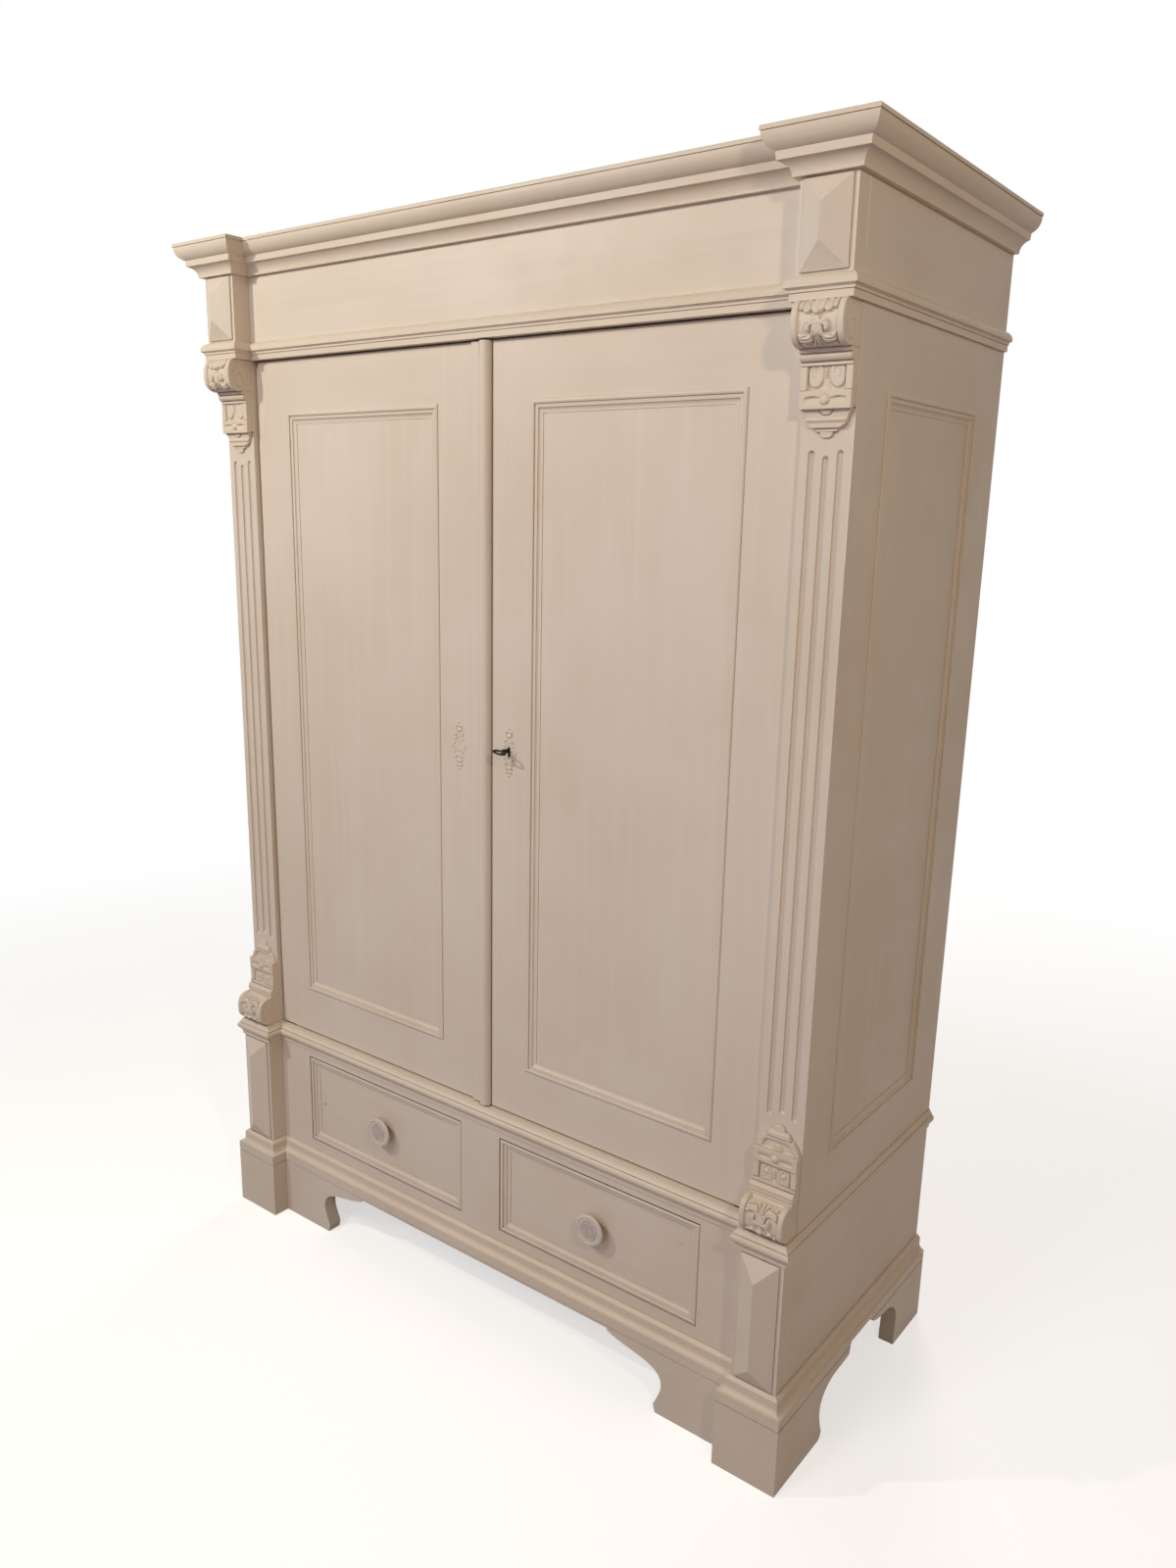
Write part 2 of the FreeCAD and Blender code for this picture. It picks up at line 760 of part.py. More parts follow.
def make_crown():
    front_board = box((-side_inner, side_inner), (front, stop_front), (crown_bottom_level, crown_top))
    recess = pivot_strap(crown_bottom_level - overrun, pivot_strap_thickness + overrun)
    save("crown_front_board", front_board.cut(both_sides(recess)).Solids)
    side = box((side_inner, half_body), (front, back), (crown_bottom_level, crown_top))
    save("crown_sides", both_sides(side))
    rail = box((-side_inner, side_inner), (back_inner, back), (crown_bottom_level, crown_top))
    save("crown_back_rail", [rail])
    block = box((corner_inner, half_body), (corner_front, front), (crown_bottom_level, crown_top))
    save("crown_corner_blocks", both_sides(block))
    save("crown_lozenges", both_sides(lozenge(
        frieze_bottom_level, cornice_bottom_level, crown_hip_length)))
    save("architrave_moulding", wrapped(
        architrave_shares, architrave_projection, crown_bottom_level, frieze_bottom_level))
    save("cornice_moulding", wrapped(
        cornice_shares, cornice_projection, cornice_bottom_level, total_height))
    save("top_board", board_and_ears(crown_top, total_height))


# Pivot hinges


def pivot_strap(bottom, thickness):
    """A strap with a round eye about the right door's pivot line."""
    bar = box(
        (pivot_x - pivot_strap_length, pivot_x),
        (pivot_y - pivot_strap_radius, pivot_y + pivot_strap_radius),
        (bottom, bottom + thickness))
    eye = Part.makeCylinder(pivot_strap_radius, thickness, Vector(pivot_x, pivot_y, bottom))
    return bar.fuse(eye).removeSplitter()


def pivot_hole(radius, bottom, height):
    return Part.makeCylinder(radius, height, Vector(pivot_x, pivot_y, bottom))


def make_frame_pivots():
    pin_top = door_bottom + pivot_pin_engagement
    lower = pivot_strap(deck_level - pivot_strap_thickness, pivot_strap_thickness)
    collar = pivot_hole(pivot_strap_radius, deck_level, door_bottom_gap - pivot_collar_gap)
    pin = pivot_hole(pivot_pin_radius, deck_level, pin_top - deck_level)
    lower = lower.fuse([collar, pin]).removeSplitter()
    pin_bottom = door_top - pivot_pin_engagement
    upper = pivot_strap(crown_bottom_level, pivot_strap_thickness)
    pin = pivot_hole(pivot_pin_radius, pin_bottom, crown_bottom_level - pin_bottom)
    upper = upper.fuse(pin).removeSplitter()
    save("frame_pivots", both_sides(lower) + both_sides(upper))


def door_straps():
    """The two straps let into a door's bottom and top edges, with their eyes bored."""
    bore_radius = pivot_pin_radius + pivot_clearance
    straps = []
    for bottom in (door_bottom, door_top - pivot_strap_thickness):
        bore = pivot_hole(bore_radius, bottom - overrun, pivot_strap_thickness + 2 * overrun)
        straps.append(pivot_strap(bottom, pivot_strap_thickness).cut(bore))
    return straps


# Doors


def door_members(meeting_edge):
    """Stiles and rails of a door hung on the right, with its pivot sockets."""
    y_span = (door_front, door_back)
    z_span = (door_bottom, door_top)
    hanging = box((door_panel_right, door_outer), (pivot_y, door_back), z_span)
    hanging = hanging.fuse([
        box((door_panel_right, pivot_x), (door_front, pivot_y), z_span),
        pivot_hole(pivot_inset, door_bottom, door_top - door_bottom),
    ]).removeSplitter()
    socket_radius = pivot_pin_radius + pivot_socket_wall_gap
    socket_depth = pivot_pin_engagement + pivot_socket_end_gap
    sockets = [
        pivot_hole(socket_radius, door_bottom, socket_depth),
        pivot_hole(socket_radius, door_top - socket_depth, socket_depth),
        pivot_strap(door_bottom, pivot_strap_thickness),
        pivot_strap(door_top - pivot_strap_thickness, pivot_strap_thickness),
    ]
    hanging = hanging.cut(sockets)
    meeting = box((meeting_edge, door_panel_left), y_span, z_span)
    rail_x = (door_panel_left, door_panel_right)
    bottom_rail = box(rail_x, y_span, (door_bottom, door_panel_bottom))
    top_rail = box(rail_x, y_span, (door_panel_top, door_top))
    return [hanging, meeting, bottom_rail, top_rail]


def door_panel():
    return box(
        (door_panel_left - panel_tongue, door_panel_right + panel_tongue),
        (door_panel_front, door_panel_front + panel_thickness),
        (door_panel_bottom - panel_tongue, door_panel_top + panel_tongue))


def keyhole(y_span):
    """A slot with round ends, as the key's bit needs."""
    low = escutcheon_level - keyhole_height / 2 + keyhole_radius
    high = escutcheon_level + keyhole_height / 2 - keyhole_radius
    x_span = (escutcheon_offset - keyhole_radius, escutcheon_offset + keyhole_radius)
    slot = box(x_span, y_span, (low, high))
    ends = []
    for level in (low, high):
        start = Vector(escutcheon_offset, y_span[0], level)
        ends.append(Part.makeCylinder(
            keyhole_radius, y_span[1] - y_span[0], start, Vector(0, 1, 0)))
    return slot.fuse(ends).removeSplitter()


def escutcheon():
    """A pierced lozenge plate on the right door's meeting stile."""
    half_width = escutcheon_width / 2
    half_height = escutcheon_height / 2
    quarter = slab(escutcheon_shares, half_width, half_height, escutcheon_thickness)
    half = quarter.fuse(mirrored(quarter))
    plate = half.fuse(half.mirror(Vector(0, 0, 0), Vector(0, 0, 1))).removeSplitter()
    plate.translate(Vector(escutcheon_offset, door_front - escutcheon_thickness, escutcheon_level))
    return plate.cut(keyhole((door_front - escutcheon_thickness - overrun, door_front + overrun)))


def save_door(side, members, mould, plate, straps):
    save("door_" + side + "_frame", members)
    save("door_" + side + "_moulding", mould)
    save("door_" + side + "_escutcheon", [plate])
    save("door_" + side + "_pivots", straps)


def make_doors():
    panel = door_panel()
    mould = ring_on_front(
        door_mould_width, door_mould_thickness, (door_panel_left, door_panel_right),
        door_panel_front, (door_panel_bottom, door_panel_top))
    plate = escutcheon()
    straps = door_straps()

    right_members = framed(panel, door_members(right_door_edge))
    right_members[1] = right_members[1].cut([
        lock_case_block(), bolt_way(), keyhole((door_front - overrun, case_y[1]))])
    save_door("right", right_members, mould, plate, straps)
    save("door_right_panel", [panel])

    left_members = [mirrored(member) for member in framed(panel, door_members(-left_door_reach))]
    left_members[1] = left_members[1].cut([strike_block(), strike_mortise()])
    save_door(
        "left", left_members, [mirrored(length) for length in mould], mirrored(plate),
        [mirrored(strap) for strap in straps])
    save("door_left_panel", [mirrored(panel)])
    make_strip()


def make_strip():
    """A flat and a half round down the left door's meeting edge."""
    height = door_top - door_bottom
    round_left = left_door_reach - strip_round_width
    flat = box(
        (round_left - strip_flat_width, round_left),
        (door_front - strip_flat_thickness, door_front), (door_bottom, door_top))
    half_round = slab(strip_round_shares, strip_round_width, strip_round_thickness, height)
    half_round.rotate(Vector(0, 0, 0), Vector(1, 0, 0), 90)
    half_round.translate(Vector(round_left, door_front, door_bottom))
    save("door_left_strip", [flat, half_round])


# Lock and key


def lock_case_block():
    return box(case_x, case_y, case_z)


def bolt_way():
    """The bolt's way out through the case's wall and the stile's edge."""
    return box(
        (right_door_edge - overrun, case_x[0] + case_wall + overrun),
        (bolt_y[0] - bolt_clearance, bolt_y[1] + bolt_clearance),
        (bolt_bottom - bolt_clearance, bolt_top + bolt_clearance))


def strike_block():
    """The strike plate on the left door's edge, without its window."""
    middle = (bolt_bottom + bolt_top) / 2
    return box(
        (left_door_reach - strike_thickness, left_door_reach),
        (door_front + strike_margin, door_back - strike_margin),
        (middle - strike_height / 2, middle + strike_height / 2))


def strike_mortise():
    depth = bolt_throw - bolt_setback - door_meeting_gap + mortise_clearance
    return box(
        (left_door_reach - depth, left_door_reach + overrun),
        (bolt_y[0] - mortise_clearance, bolt_y[1] + mortise_clearance),
        (bolt_bottom - mortise_clearance, bolt_top + mortise_clearance))


def make_lock():
    inside = box(*[(span[0] + case_wall, span[1] - case_wall) for span in (case_x, case_y, case_z)])
    socket_start = Vector(escutcheon_offset, case_y[1] - case_wall - overrun, key_level)
    socket = Part.makeCylinder(
        key_pin_radius + key_pin_clearance, case_wall + 2 * overrun, socket_start, Vector(0, 1, 0))
    front_keyhole = keyhole((case_y[0] - overrun, sum(case_y) / 2))
    case = lock_case_block().cut([inside, bolt_way(), front_keyhole, socket])
    save("lock_case", [case])

    bar = box((bolt_left, bolt_right), bolt_y, (bolt_bottom, bolt_top))
    talon_z = (key_level + talon_height, bolt_bottom)
    first_end = escutcheon_offset + talon_notch_start
    talons = [
        box((first_end - talon_width, first_end), bolt_y, talon_z),
        box((bolt_right - talon_width, bolt_right), bolt_y, talon_z),
    ]
    save("lock_bolt", [bar.fuse(talons).removeSplitter()])
    save("strike_plate", [strike_block().cut(strike_mortise())])


def make_key():
    along = Vector(0, 1, 0)
    bow_y = door_front - key_bow_centre
    shank_start = bow_y + key_bow_half_length
    shank_end = case_y[1] - case_wall - key_end_gap
    shank = Part.makeCylinder(
        key_shank_radius, shank_end - shank_start,
        Vector(escutcheon_offset, shank_start, key_level), along)
    pin = Part.makeCylinder(
        key_pin_radius, case_wall + key_end_gap,
        Vector(escutcheon_offset, shank_end, key_level), along)
    collar = Part.makeCylinder(
        key_collar_radius, key_collar_length,
        Vector(escutcheon_offset, shank_start + key_bow_wire_radius, key_level), along)
    bit_middle = sum(bolt_y) / 2
    bit = box(
        (escutcheon_offset, escutcheon_offset + key_bit_reach),
        (bit_middle - key_bit_length / 2, bit_middle + key_bit_length / 2),
        (key_level - key_bit_thickness / 2, key_level + key_bit_thickness / 2))
    ring = Part.makeTorus(key_bow_half_width, key_bow_wire_radius)
    squeeze = FreeCAD.Matrix()
    squeeze.scale(1, key_bow_half_length / key_bow_half_width, 1)
    ring = ring.transformGeometry(squeeze)
    ring.translate(Vector(escutcheon_offset, bow_y, key_level))
    key = shank.fuse([pin, collar, bit, ring]).removeSplitter()
    key.rotate(Vector(escutcheon_offset, 0, key_level), Vector(0, -1, 0), key_rest_angle)
    save("key", [key])


# Drawers


def make_drawers():
    x_span = (drawer_inner_edge + drawer_gap, drawer_outer_edge - drawer_gap)
    z_span = (drawer_bottom_level + drawer_gap, drawer_top_level - drawer_gap)
    field = front + drawer_field_recess
    front_back = field + drawer_front_thickness
    front_board = box(x_span, (field, front_back), z_span)
    mould = ring_on_front(drawer_mould_width, drawer_field_recess, x_span, field, z_span)

    low = drawer_bottom_level + drawer_run_gap
    side_y = (front_back, back_inner - drawer_back_gap)
    side_z = (low, drawer_top_level - drawer_side_drop)
    left_side = box((x_span[0], x_span[0] + drawer_side_thickness), side_y, side_z)
    right_side = box((x_span[1] - drawer_side_thickness, x_span[1]), side_y, side_z)
    inside_x = (x_span[0] + drawer_side_thickness, x_span[1] - drawer_side_thickness)
    base_z = (low + drawer_base_rise, low + drawer_base_rise + drawer_base_thickness)
    base_y = (front_back, side_y[1] - drawer_side_thickness)
    base = box(inside_x, base_y, base_z)
    rear = box(inside_x, (base_y[1], side_y[1]), side_z)

    knob_profile = outline_face(knob_shares, knob_radius, knob_length)
    knob = knob_profile.revolve(Vector(0, 0, 0), Vector(0, 0, 1), 360)
    knob.rotate(Vector(0, 0, 0), Vector(1, 0, 0), 90)
    knob.translate(Vector(sum(x_span) / 2, field, sum(z_span) / 2))

    pieces = {
        "front": [front_board],
        "moulding": mould,
        "box": [left_side, right_side, rear, base],
        "knob": [knob],
    }
    for name, solids in pieces.items():
        save("drawer_right_" + name, solids)
        save("drawer_left_" + name, [mirrored(solid) for solid in solids])


os.makedirs("parts", exist_ok=True)
make_plinth()
make_base()
make_deck()
make_pilasters()
make_corbels()
make_sides()
make_back_and_shelves()
make_crown()
make_frame_pivots()
make_doors()
make_lock()
make_key()
make_drawers()
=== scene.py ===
import math

import bmesh
import bpy
import numpy as np
from mathutils import Matrix, Vector


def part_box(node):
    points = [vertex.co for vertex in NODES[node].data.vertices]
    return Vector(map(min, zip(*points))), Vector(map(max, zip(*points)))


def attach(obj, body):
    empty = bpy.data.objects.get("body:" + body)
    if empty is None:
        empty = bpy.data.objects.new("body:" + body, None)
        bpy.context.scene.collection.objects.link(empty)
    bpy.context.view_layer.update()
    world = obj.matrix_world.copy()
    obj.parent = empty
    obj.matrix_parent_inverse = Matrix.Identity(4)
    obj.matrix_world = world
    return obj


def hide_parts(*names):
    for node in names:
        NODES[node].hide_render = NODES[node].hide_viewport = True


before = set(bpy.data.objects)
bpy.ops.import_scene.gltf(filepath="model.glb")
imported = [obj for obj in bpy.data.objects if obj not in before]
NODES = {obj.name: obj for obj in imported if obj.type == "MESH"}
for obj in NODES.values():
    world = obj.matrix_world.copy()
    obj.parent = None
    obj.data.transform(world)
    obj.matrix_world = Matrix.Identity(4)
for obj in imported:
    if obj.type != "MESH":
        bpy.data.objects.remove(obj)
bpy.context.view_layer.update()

MM = 0.001

# Materials


class Tree:
    """A material's or the world's node tree, with short calls to add nodes."""

    def __init__(self, owner):
        owner.use_nodes = True
        self.tree = owner.node_tree
        self.tree.nodes.clear()

    def add(self, kind, **settings):
        node = self.tree.nodes.new("ShaderNode" + kind)
        for key, value in settings.items():
            setattr(node, key, value)
        return node

    def feed(self, node, **inputs):
        """Values and links by input name, underscores for spaces, or by number as i0, i1."""
        for key, value in inputs.items():
            by_number = key[0] == "i" and key[1:].isdigit()
            socket = node.inputs[int(key[1:]) if by_number else key.replace("_", " ")]
            if isinstance(value, bpy.types.NodeSocket):
                self.tree.links.new(value, socket)
            else:
                socket.default_value = value
        return node

    def math(self, operation, a, b=0.0):
        node = self.add("Math", operation=operation)
        return self.feed(node, i0=a, i1=b).outputs[0]

    def mix(self, factor, a, b):
        node = self.add("Mix", data_type="RGBA")
        return self.feed(node, i0=factor, i6=a, i7=b).outputs[2]

    def mix_vector(self, factor, a, b):
        node = self.add("Mix", data_type="VECTOR")
        return self.feed(node, i0=factor, i4=a, i5=b).outputs[1]

    def ramp(self, value, low, high, to_low=0.0, to_high=1.0):
        node = self.add("MapRange")
        return self.feed(node, i0=value, i1=low, i2=high, i3=to_low, i4=to_high).outputs[0]

    def scaled(self, vector, x, y, z):
        node = self.add("Mapping")
        return self.feed(node, Vector=vector, Scale=(x, y, z)).outputs[0]

    def noise(self, vector, scale, detail=3.0, roughness=0.5):
        node = self.add("TexNoise")
        return self.feed(node, Vector=vector, Scale=scale, Detail=detail, Roughness=roughness).outputs[0]

    def finish(self, shader):
        output = self.add("OutputMaterial")
        self.tree.links.new(shader, output.inputs[0])


def srgb(r, g, b):
    def lin(v):
        v /= 255
        return v / 12.92 if v <= 0.04045 else ((v + 0.055) / 1.055) ** 2.4
    return (lin(r), lin(g), lin(b), 1.0)


CREAM = srgb(220, 206, 192)
CREAM_DEEP = srgb(214, 198, 181)
CREAM_LIGHT = srgb(226, 214, 202)
CREAM_WARM = srgb(216, 194, 160)
# The brown that painted shade in crevices darkens towards
PAINTED_SHADE_BROWN = srgb(122, 98, 70)
PINE = srgb(196, 156, 106)
PINE_DEEP = srgb(150, 106, 62)


def box_mm(name):
    """A node's low and high corners in millimetres."""
    return [1000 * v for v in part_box(name)]


def stroke_vector(t, place, run, across, along):
    """Coordinates drawn out along the run axis, for strokes and grain."""
    scales = {"x": (along, across, across), "y": (across, along, across), "z": (across, across, along)}
    return t.scaled(place, *scales[run])


def split(t, vector):
    node = t.add("SeparateXYZ")
    t.feed(node, Vector=vector)
    return node.outputs


def paint(name, run="z", frame_box=None, mitred=False, wrapped=False, crevice_shade=0.5, shade_reach=0.005,
          crevice=(0.28, 0.78), warm=0.0, marks=()):
    """Brushed semi-gloss paint over wood.

    run is the axis that the brush strokes follow. frame_box is (axis, centre, half width,
    centre, half height) of a frame's opening, outside which the strokes turn, along the
    corners' diagonals where the frame is mitred. wrapped strokes go round a corner. dirt is
    how strongly painted shade darkens crevices, soil how far in metres it looks for them,
    and crevice the occlusion range that counts. warm yellows the coat. marks are local
    stains, chips, painted shadows and painted highlights: (low corner, high corner, reach,
    colour, strength, depth), in millimetres.
    """
    material = bpy.data.materials.new(name)
    t = Tree(material)
    coordinates = t.add("TexCoord")
    place = coordinates.outputs["Object"]
    normal = split(t, coordinates.outputs["Normal"])
    parts = split(t, place)

    def strokes(across, along):
        if frame_box:
            axis, c1, w, c2, h = frame_box
            side = t.math("ABSOLUTE", t.math("SUBTRACT", parts[0 if axis == "x" else 1], c1))
            rise = t.math("ABSOLUTE", t.math("SUBTRACT", parts[2], c2))
            if mitred:
                upright = t.math("GREATER_THAN", t.math("SUBTRACT", side, w),
                                 t.math("SUBTRACT", rise, h))
            else:
                upright = t.math("GREATER_THAN", side, w)
            return t.mix_vector(upright, stroke_vector(t, place, axis, across, along),
                                stroke_vector(t, place, "z", across, along))
        if wrapped:
            sideways = t.math("GREATER_THAN", t.math("ABSOLUTE", normal[0]), 0.6)
            return t.mix_vector(sideways, stroke_vector(t, place, "x", across, along),
                                stroke_vector(t, place, "y", across, along))
        return stroke_vector(t, place, run, across, along)

    fine = t.noise(strokes(330.0, 7.0), 1.0, 3.0, 0.6)
    broad = t.noise(strokes(62.0, 2.2), 1.0, 2.0, 0.5)
    grain = t.noise(strokes(140.0, 3.2), 1.0, 4.0, 0.65)
    clouds = t.noise(place, 3.1, 3.0, 0.55)
    patches = t.noise(place, 14.0, 4.0, 0.6)
    peel = t.noise(place, 520.0, 2.0, 0.5)

    tone = t.mix(t.ramp(clouds, 0.35, 0.65), CREAM, CREAM_DEEP)
    tone = t.mix(t.math("MULTIPLY", t.ramp(broad, 0.45, 0.75), 0.24), tone, CREAM_LIGHT)
    tone = t.mix(t.math("MULTIPLY", t.ramp(grain, 0.58, 0.72), 0.08), tone, CREAM_DEEP)
    if warm:
        tone = t.mix(warm, tone, CREAM_WARM)

    # Painted shade: crevices found by occlusion are darkened towards a brown, more in some patches than
    # in others
    occlusion = t.add("AmbientOcclusion", samples=6)
    t.feed(occlusion, Distance=shade_reach)
    shade = t.ramp(occlusion.outputs["AO"], *crevice, 1.0, 0.0)
    patchy_shade = t.math("MULTIPLY", shade, t.ramp(patches, 0.30, 0.62, 0.45, 1.0))
    tone = t.mix(t.math("MULTIPLY", patchy_shade, crevice_shade), tone, PAINTED_SHADE_BROWN)

    height = t.math("ADD", t.math("MULTIPLY", fine, 0.55), t.math("MULTIPLY", broad, 0.9))
    height = t.math("ADD", height, t.math("MULTIPLY", grain, 0.55))
    height = t.math("ADD", height, t.math("MULTIPLY", peel, 0.12))
    height = t.math("ADD", height, t.math("MULTIPLY", clouds, 1.6))
    for low, high, reach, colour, strength, depth in marks:
        above = t.add("VectorMath", operation="MAXIMUM")
        t.feed(above, i0=place, i1=[v * MM for v in low])
        nearest = t.add("VectorMath", operation="MINIMUM")
        t.feed(nearest, i0=above.outputs[0], i1=[v * MM for v in high])
        gap = t.add("VectorMath", operation="DISTANCE")
        t.feed(gap, i0=place, i1=nearest.outputs[0])
        ragged = t.math("ADD", gap.outputs["Value"], t.math("MULTIPLY", peel, reach * MM))
        inside = t.ramp(ragged, reach * 1.1 * MM, reach * 1.6 * MM, 1.0, 0.0)
        tone = t.mix(t.math("MULTIPLY", inside, strength), tone, srgb(*colour))
        height = t.math("SUBTRACT", height, t.math("MULTIPLY", inside, depth))
    bump = t.add("Bump")
    t.feed(bump, Strength=0.42, Distance=0.0005, Height=height)

    shader = t.add("BsdfPrincipled")
    rough = t.math("ADD", t.ramp(patches, 0.3, 0.7, 0.41, 0.50), t.math("MULTIPLY", fine, 0.07))
    t.feed(shader, Base_Color=tone, Roughness=rough, Specular_IOR_Level=0.40, Normal=bump.outputs[0])
    t.finish(shader.outputs[0])
    return material


def knob_paint(name, centre):
    """Worn painted turned wood: lathe rings round a centre line along Y."""
    material = bpy.data.materials.new(name)
    t = Tree(material)
    place = t.add("TexCoord").outputs["Object"]
    offset = t.add("VectorMath", operation="SUBTRACT")
    t.feed(offset, i0=place, i1=centre)
    parts = split(t, offset.outputs[0])
    flat = t.add("CombineXYZ")
    t.feed(flat, X=parts[0], Z=parts[2])
    length = t.add("VectorMath", operation="LENGTH")
    t.feed(length, i0=flat.outputs[0])
    radius = length.outputs["Value"]
    wobble = t.noise(place, 60.0, 3.0, 0.6)
    rings = t.math("SINE", t.math("ADD", t.math("MULTIPLY", radius, 1500.0),
                                  t.math("MULTIPLY", wobble, 2.5)))
    face = t.ramp(radius, 0.0185, 0.0205, 1.0, 0.0)
    blotch = t.noise(place, 130.0, 4.0, 0.65)
    worn = t.math("MULTIPLY", face, t.ramp(blotch, 0.40, 0.60))
    neck = t.ramp(parts[1], -0.002, 0.003)
    coat = t.mix(neck, srgb(216, 200, 186), srgb(226, 204, 164))
    tone = t.mix(t.math("MULTIPLY", face, 0.55), coat, srgb(196, 188, 184))
    tone = t.mix(t.math("MULTIPLY", worn, 0.65), tone, srgb(170, 163, 160))
    ringed = t.math("MULTIPLY", t.math("MULTIPLY", t.ramp(rings, 0.2, 1.0), face), 0.5)
    tone = t.mix(ringed, tone, srgb(146, 136, 126))
    # Painted shade: the knob's crevices found by occlusion are darkened
    occlusion = t.add("AmbientOcclusion", samples=6)
    t.feed(occlusion, Distance=0.005)
    tone = t.mix(t.ramp(occlusion.outputs["AO"], 0.3, 0.9, 0.55, 0.0), tone, PAINTED_SHADE_BROWN)
    height = t.math("ADD", t.math("MULTIPLY", rings, 0.7), blotch)
    bump = t.add("Bump")
    t.feed(bump, Strength=0.6, Distance=0.0006, Height=height)
    shader = t.add("BsdfPrincipled")
    t.feed(shader, Base_Color=tone, Roughness=t.ramp(worn, 0.0, 1.0, 0.42, 0.62), Normal=bump.outputs[0])
    t.finish(shader.outputs[0])
    return material


def pine(name, run="x", boards=None):
    """Bare old pine: growth rings cut lengthwise.

    boards, the first edge and the width in metres of boards side by side along x, gives each
    board its own heart and a dark joint.
    """
    material = bpy.data.materials.new(name)
    t = Tree(material)
    place = t.add("TexCoord").outputs["Object"]
    if boards:
        edge, width = boards
        x, y, z = split(t, place)
        count = t.math("FLOOR", t.math("DIVIDE", t.math("SUBTRACT", x, edge), width))
        across = t.math("SUBTRACT", x, edge + width / 2)
        across = t.math("SUBTRACT", across, t.math("MULTIPLY", count, width))
        turn = t.math("SINE", t.math("MULTIPLY", count, 2.4))
        moved = t.add("CombineXYZ")
        t.feed(moved, X=t.math("ADD", across, t.math("MULTIPLY", turn, 0.045)),
               Y=t.math("ADD", y, t.math("SUBTRACT", t.math("MULTIPLY", turn, 0.03), 0.21)),
               Z=t.math("ADD", z, t.math("MULTIPLY", count, 1.31)))
        joint = t.ramp(t.math("ABSOLUTE", across), width / 2 - 0.0022, width / 2 - 0.0008)
        place = moved.outputs[0]
    sway = t.noise(stroke_vector(t, place, run, 3.0, 0.8), 1.0, 2.0, 0.5)
    rings = t.add("TexWave", wave_type="RINGS", rings_direction=run.upper(), wave_profile="SAW")
    t.feed(rings, Vector=stroke_vector(t, place, run, 1.0, 0.06), Scale=24.0, Distortion=6.0,
           Detail=3.0, Detail_Scale=1.2)
    fibres = t.noise(stroke_vector(t, place, run, 500.0, 8.0), 1.0, 3.0, 0.6)
    tone = t.mix(t.ramp(rings.outputs[1], 0.2, 0.95), PINE, PINE_DEEP)
    tone = t.mix(t.math("MULTIPLY", sway, 0.5), tone, srgb(206, 170, 124))
    tone = t.mix(t.math("MULTIPLY", fibres, 0.25), tone, PINE_DEEP)
    if boards:
        tone = t.mix(t.math("MULTIPLY", joint, 0.8), tone, srgb(58, 36, 20))
    bump = t.add("Bump")
    t.feed(bump, Strength=0.4, Distance=0.0004, Height=fibres)
    shader = t.add("BsdfPrincipled")
    t.feed(shader, Base_Color=tone, Roughness=t.ramp(fibres, 0.3, 0.7, 0.55, 0.72),
           Normal=bump.outputs[0])
    t.finish(shader.outputs[0])
    return material


def iron(name, tone_low=(26, 24, 23), tone_high=(66, 56, 48)):
    """Forged metal, blotched between two tones and finely scratched."""
    material = bpy.data.materials.new(name)
    t = Tree(material)
    place = t.add("TexCoord").outputs["Object"]
    blotch = t.noise(place, 260.0, 4.0, 0.65)
    scratch = t.noise(t.scaled(place, 900.0, 900.0, 120.0), 1.0, 2.0, 0.5)
    tone = t.mix(t.ramp(blotch, 0.42, 0.68), srgb(*tone_low), srgb(*tone_high))
    bump = t.add("Bump")
    t.feed(bump, Strength=0.5, Distance=0.0003,
           Height=t.math("ADD", blotch, t.math("MULTIPLY", scratch, 0.4)))
    shader = t.add("BsdfPrincipled")
    t.feed(shader, Base_Color=tone, Metallic=0.85, Roughness=t.ramp(blotch, 0.3, 0.7, 0.38, 0.6),
           Normal=bump.outputs[0])
    t.finish(shader.outputs[0])
    return material


def dress(material, *names):
    """Give CAD nodes their material."""
    for name in names:
        data = NODES[name].data
        if data.materials:
            for index in range(len(data.materials)):
                data.materials[index] = material
        else:
            data.materials.append(material)


def opening_of(name, axis, inset=0.0):
    """The frame_box of a moulding ring or panel, shrunk or grown by inset."""
    low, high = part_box(name)
    k = 0 if axis == "x" else 1
    return (axis, (low[k] + high[k]) / 2, (high[k] - low[k]) / 2 + inset,
            (low[2] + high[2]) / 2, (high[2] - low[2]) / 2 + inset)


RUST = (120, 94, 72)
CAULK = ((684, -239.6, 1906), (684, -238.4, 1990), 1.5, (238, 228, 214), 0.85, -1.0)
FRAME_FACE = box_mm("base_front_frame")[0][1]


def painted_gap_shadow(drawer):
    """A painted shadow: the dark gap over a drawer, drawn on the face of the frame round it."""
    low, high = box_mm(drawer)
    return ((low[0], FRAME_FACE, high[2] + 0.8), (high[0], FRAME_FACE, high[2] + 2.2),
            1.0, (46, 32, 24), 1.0, 0.0)


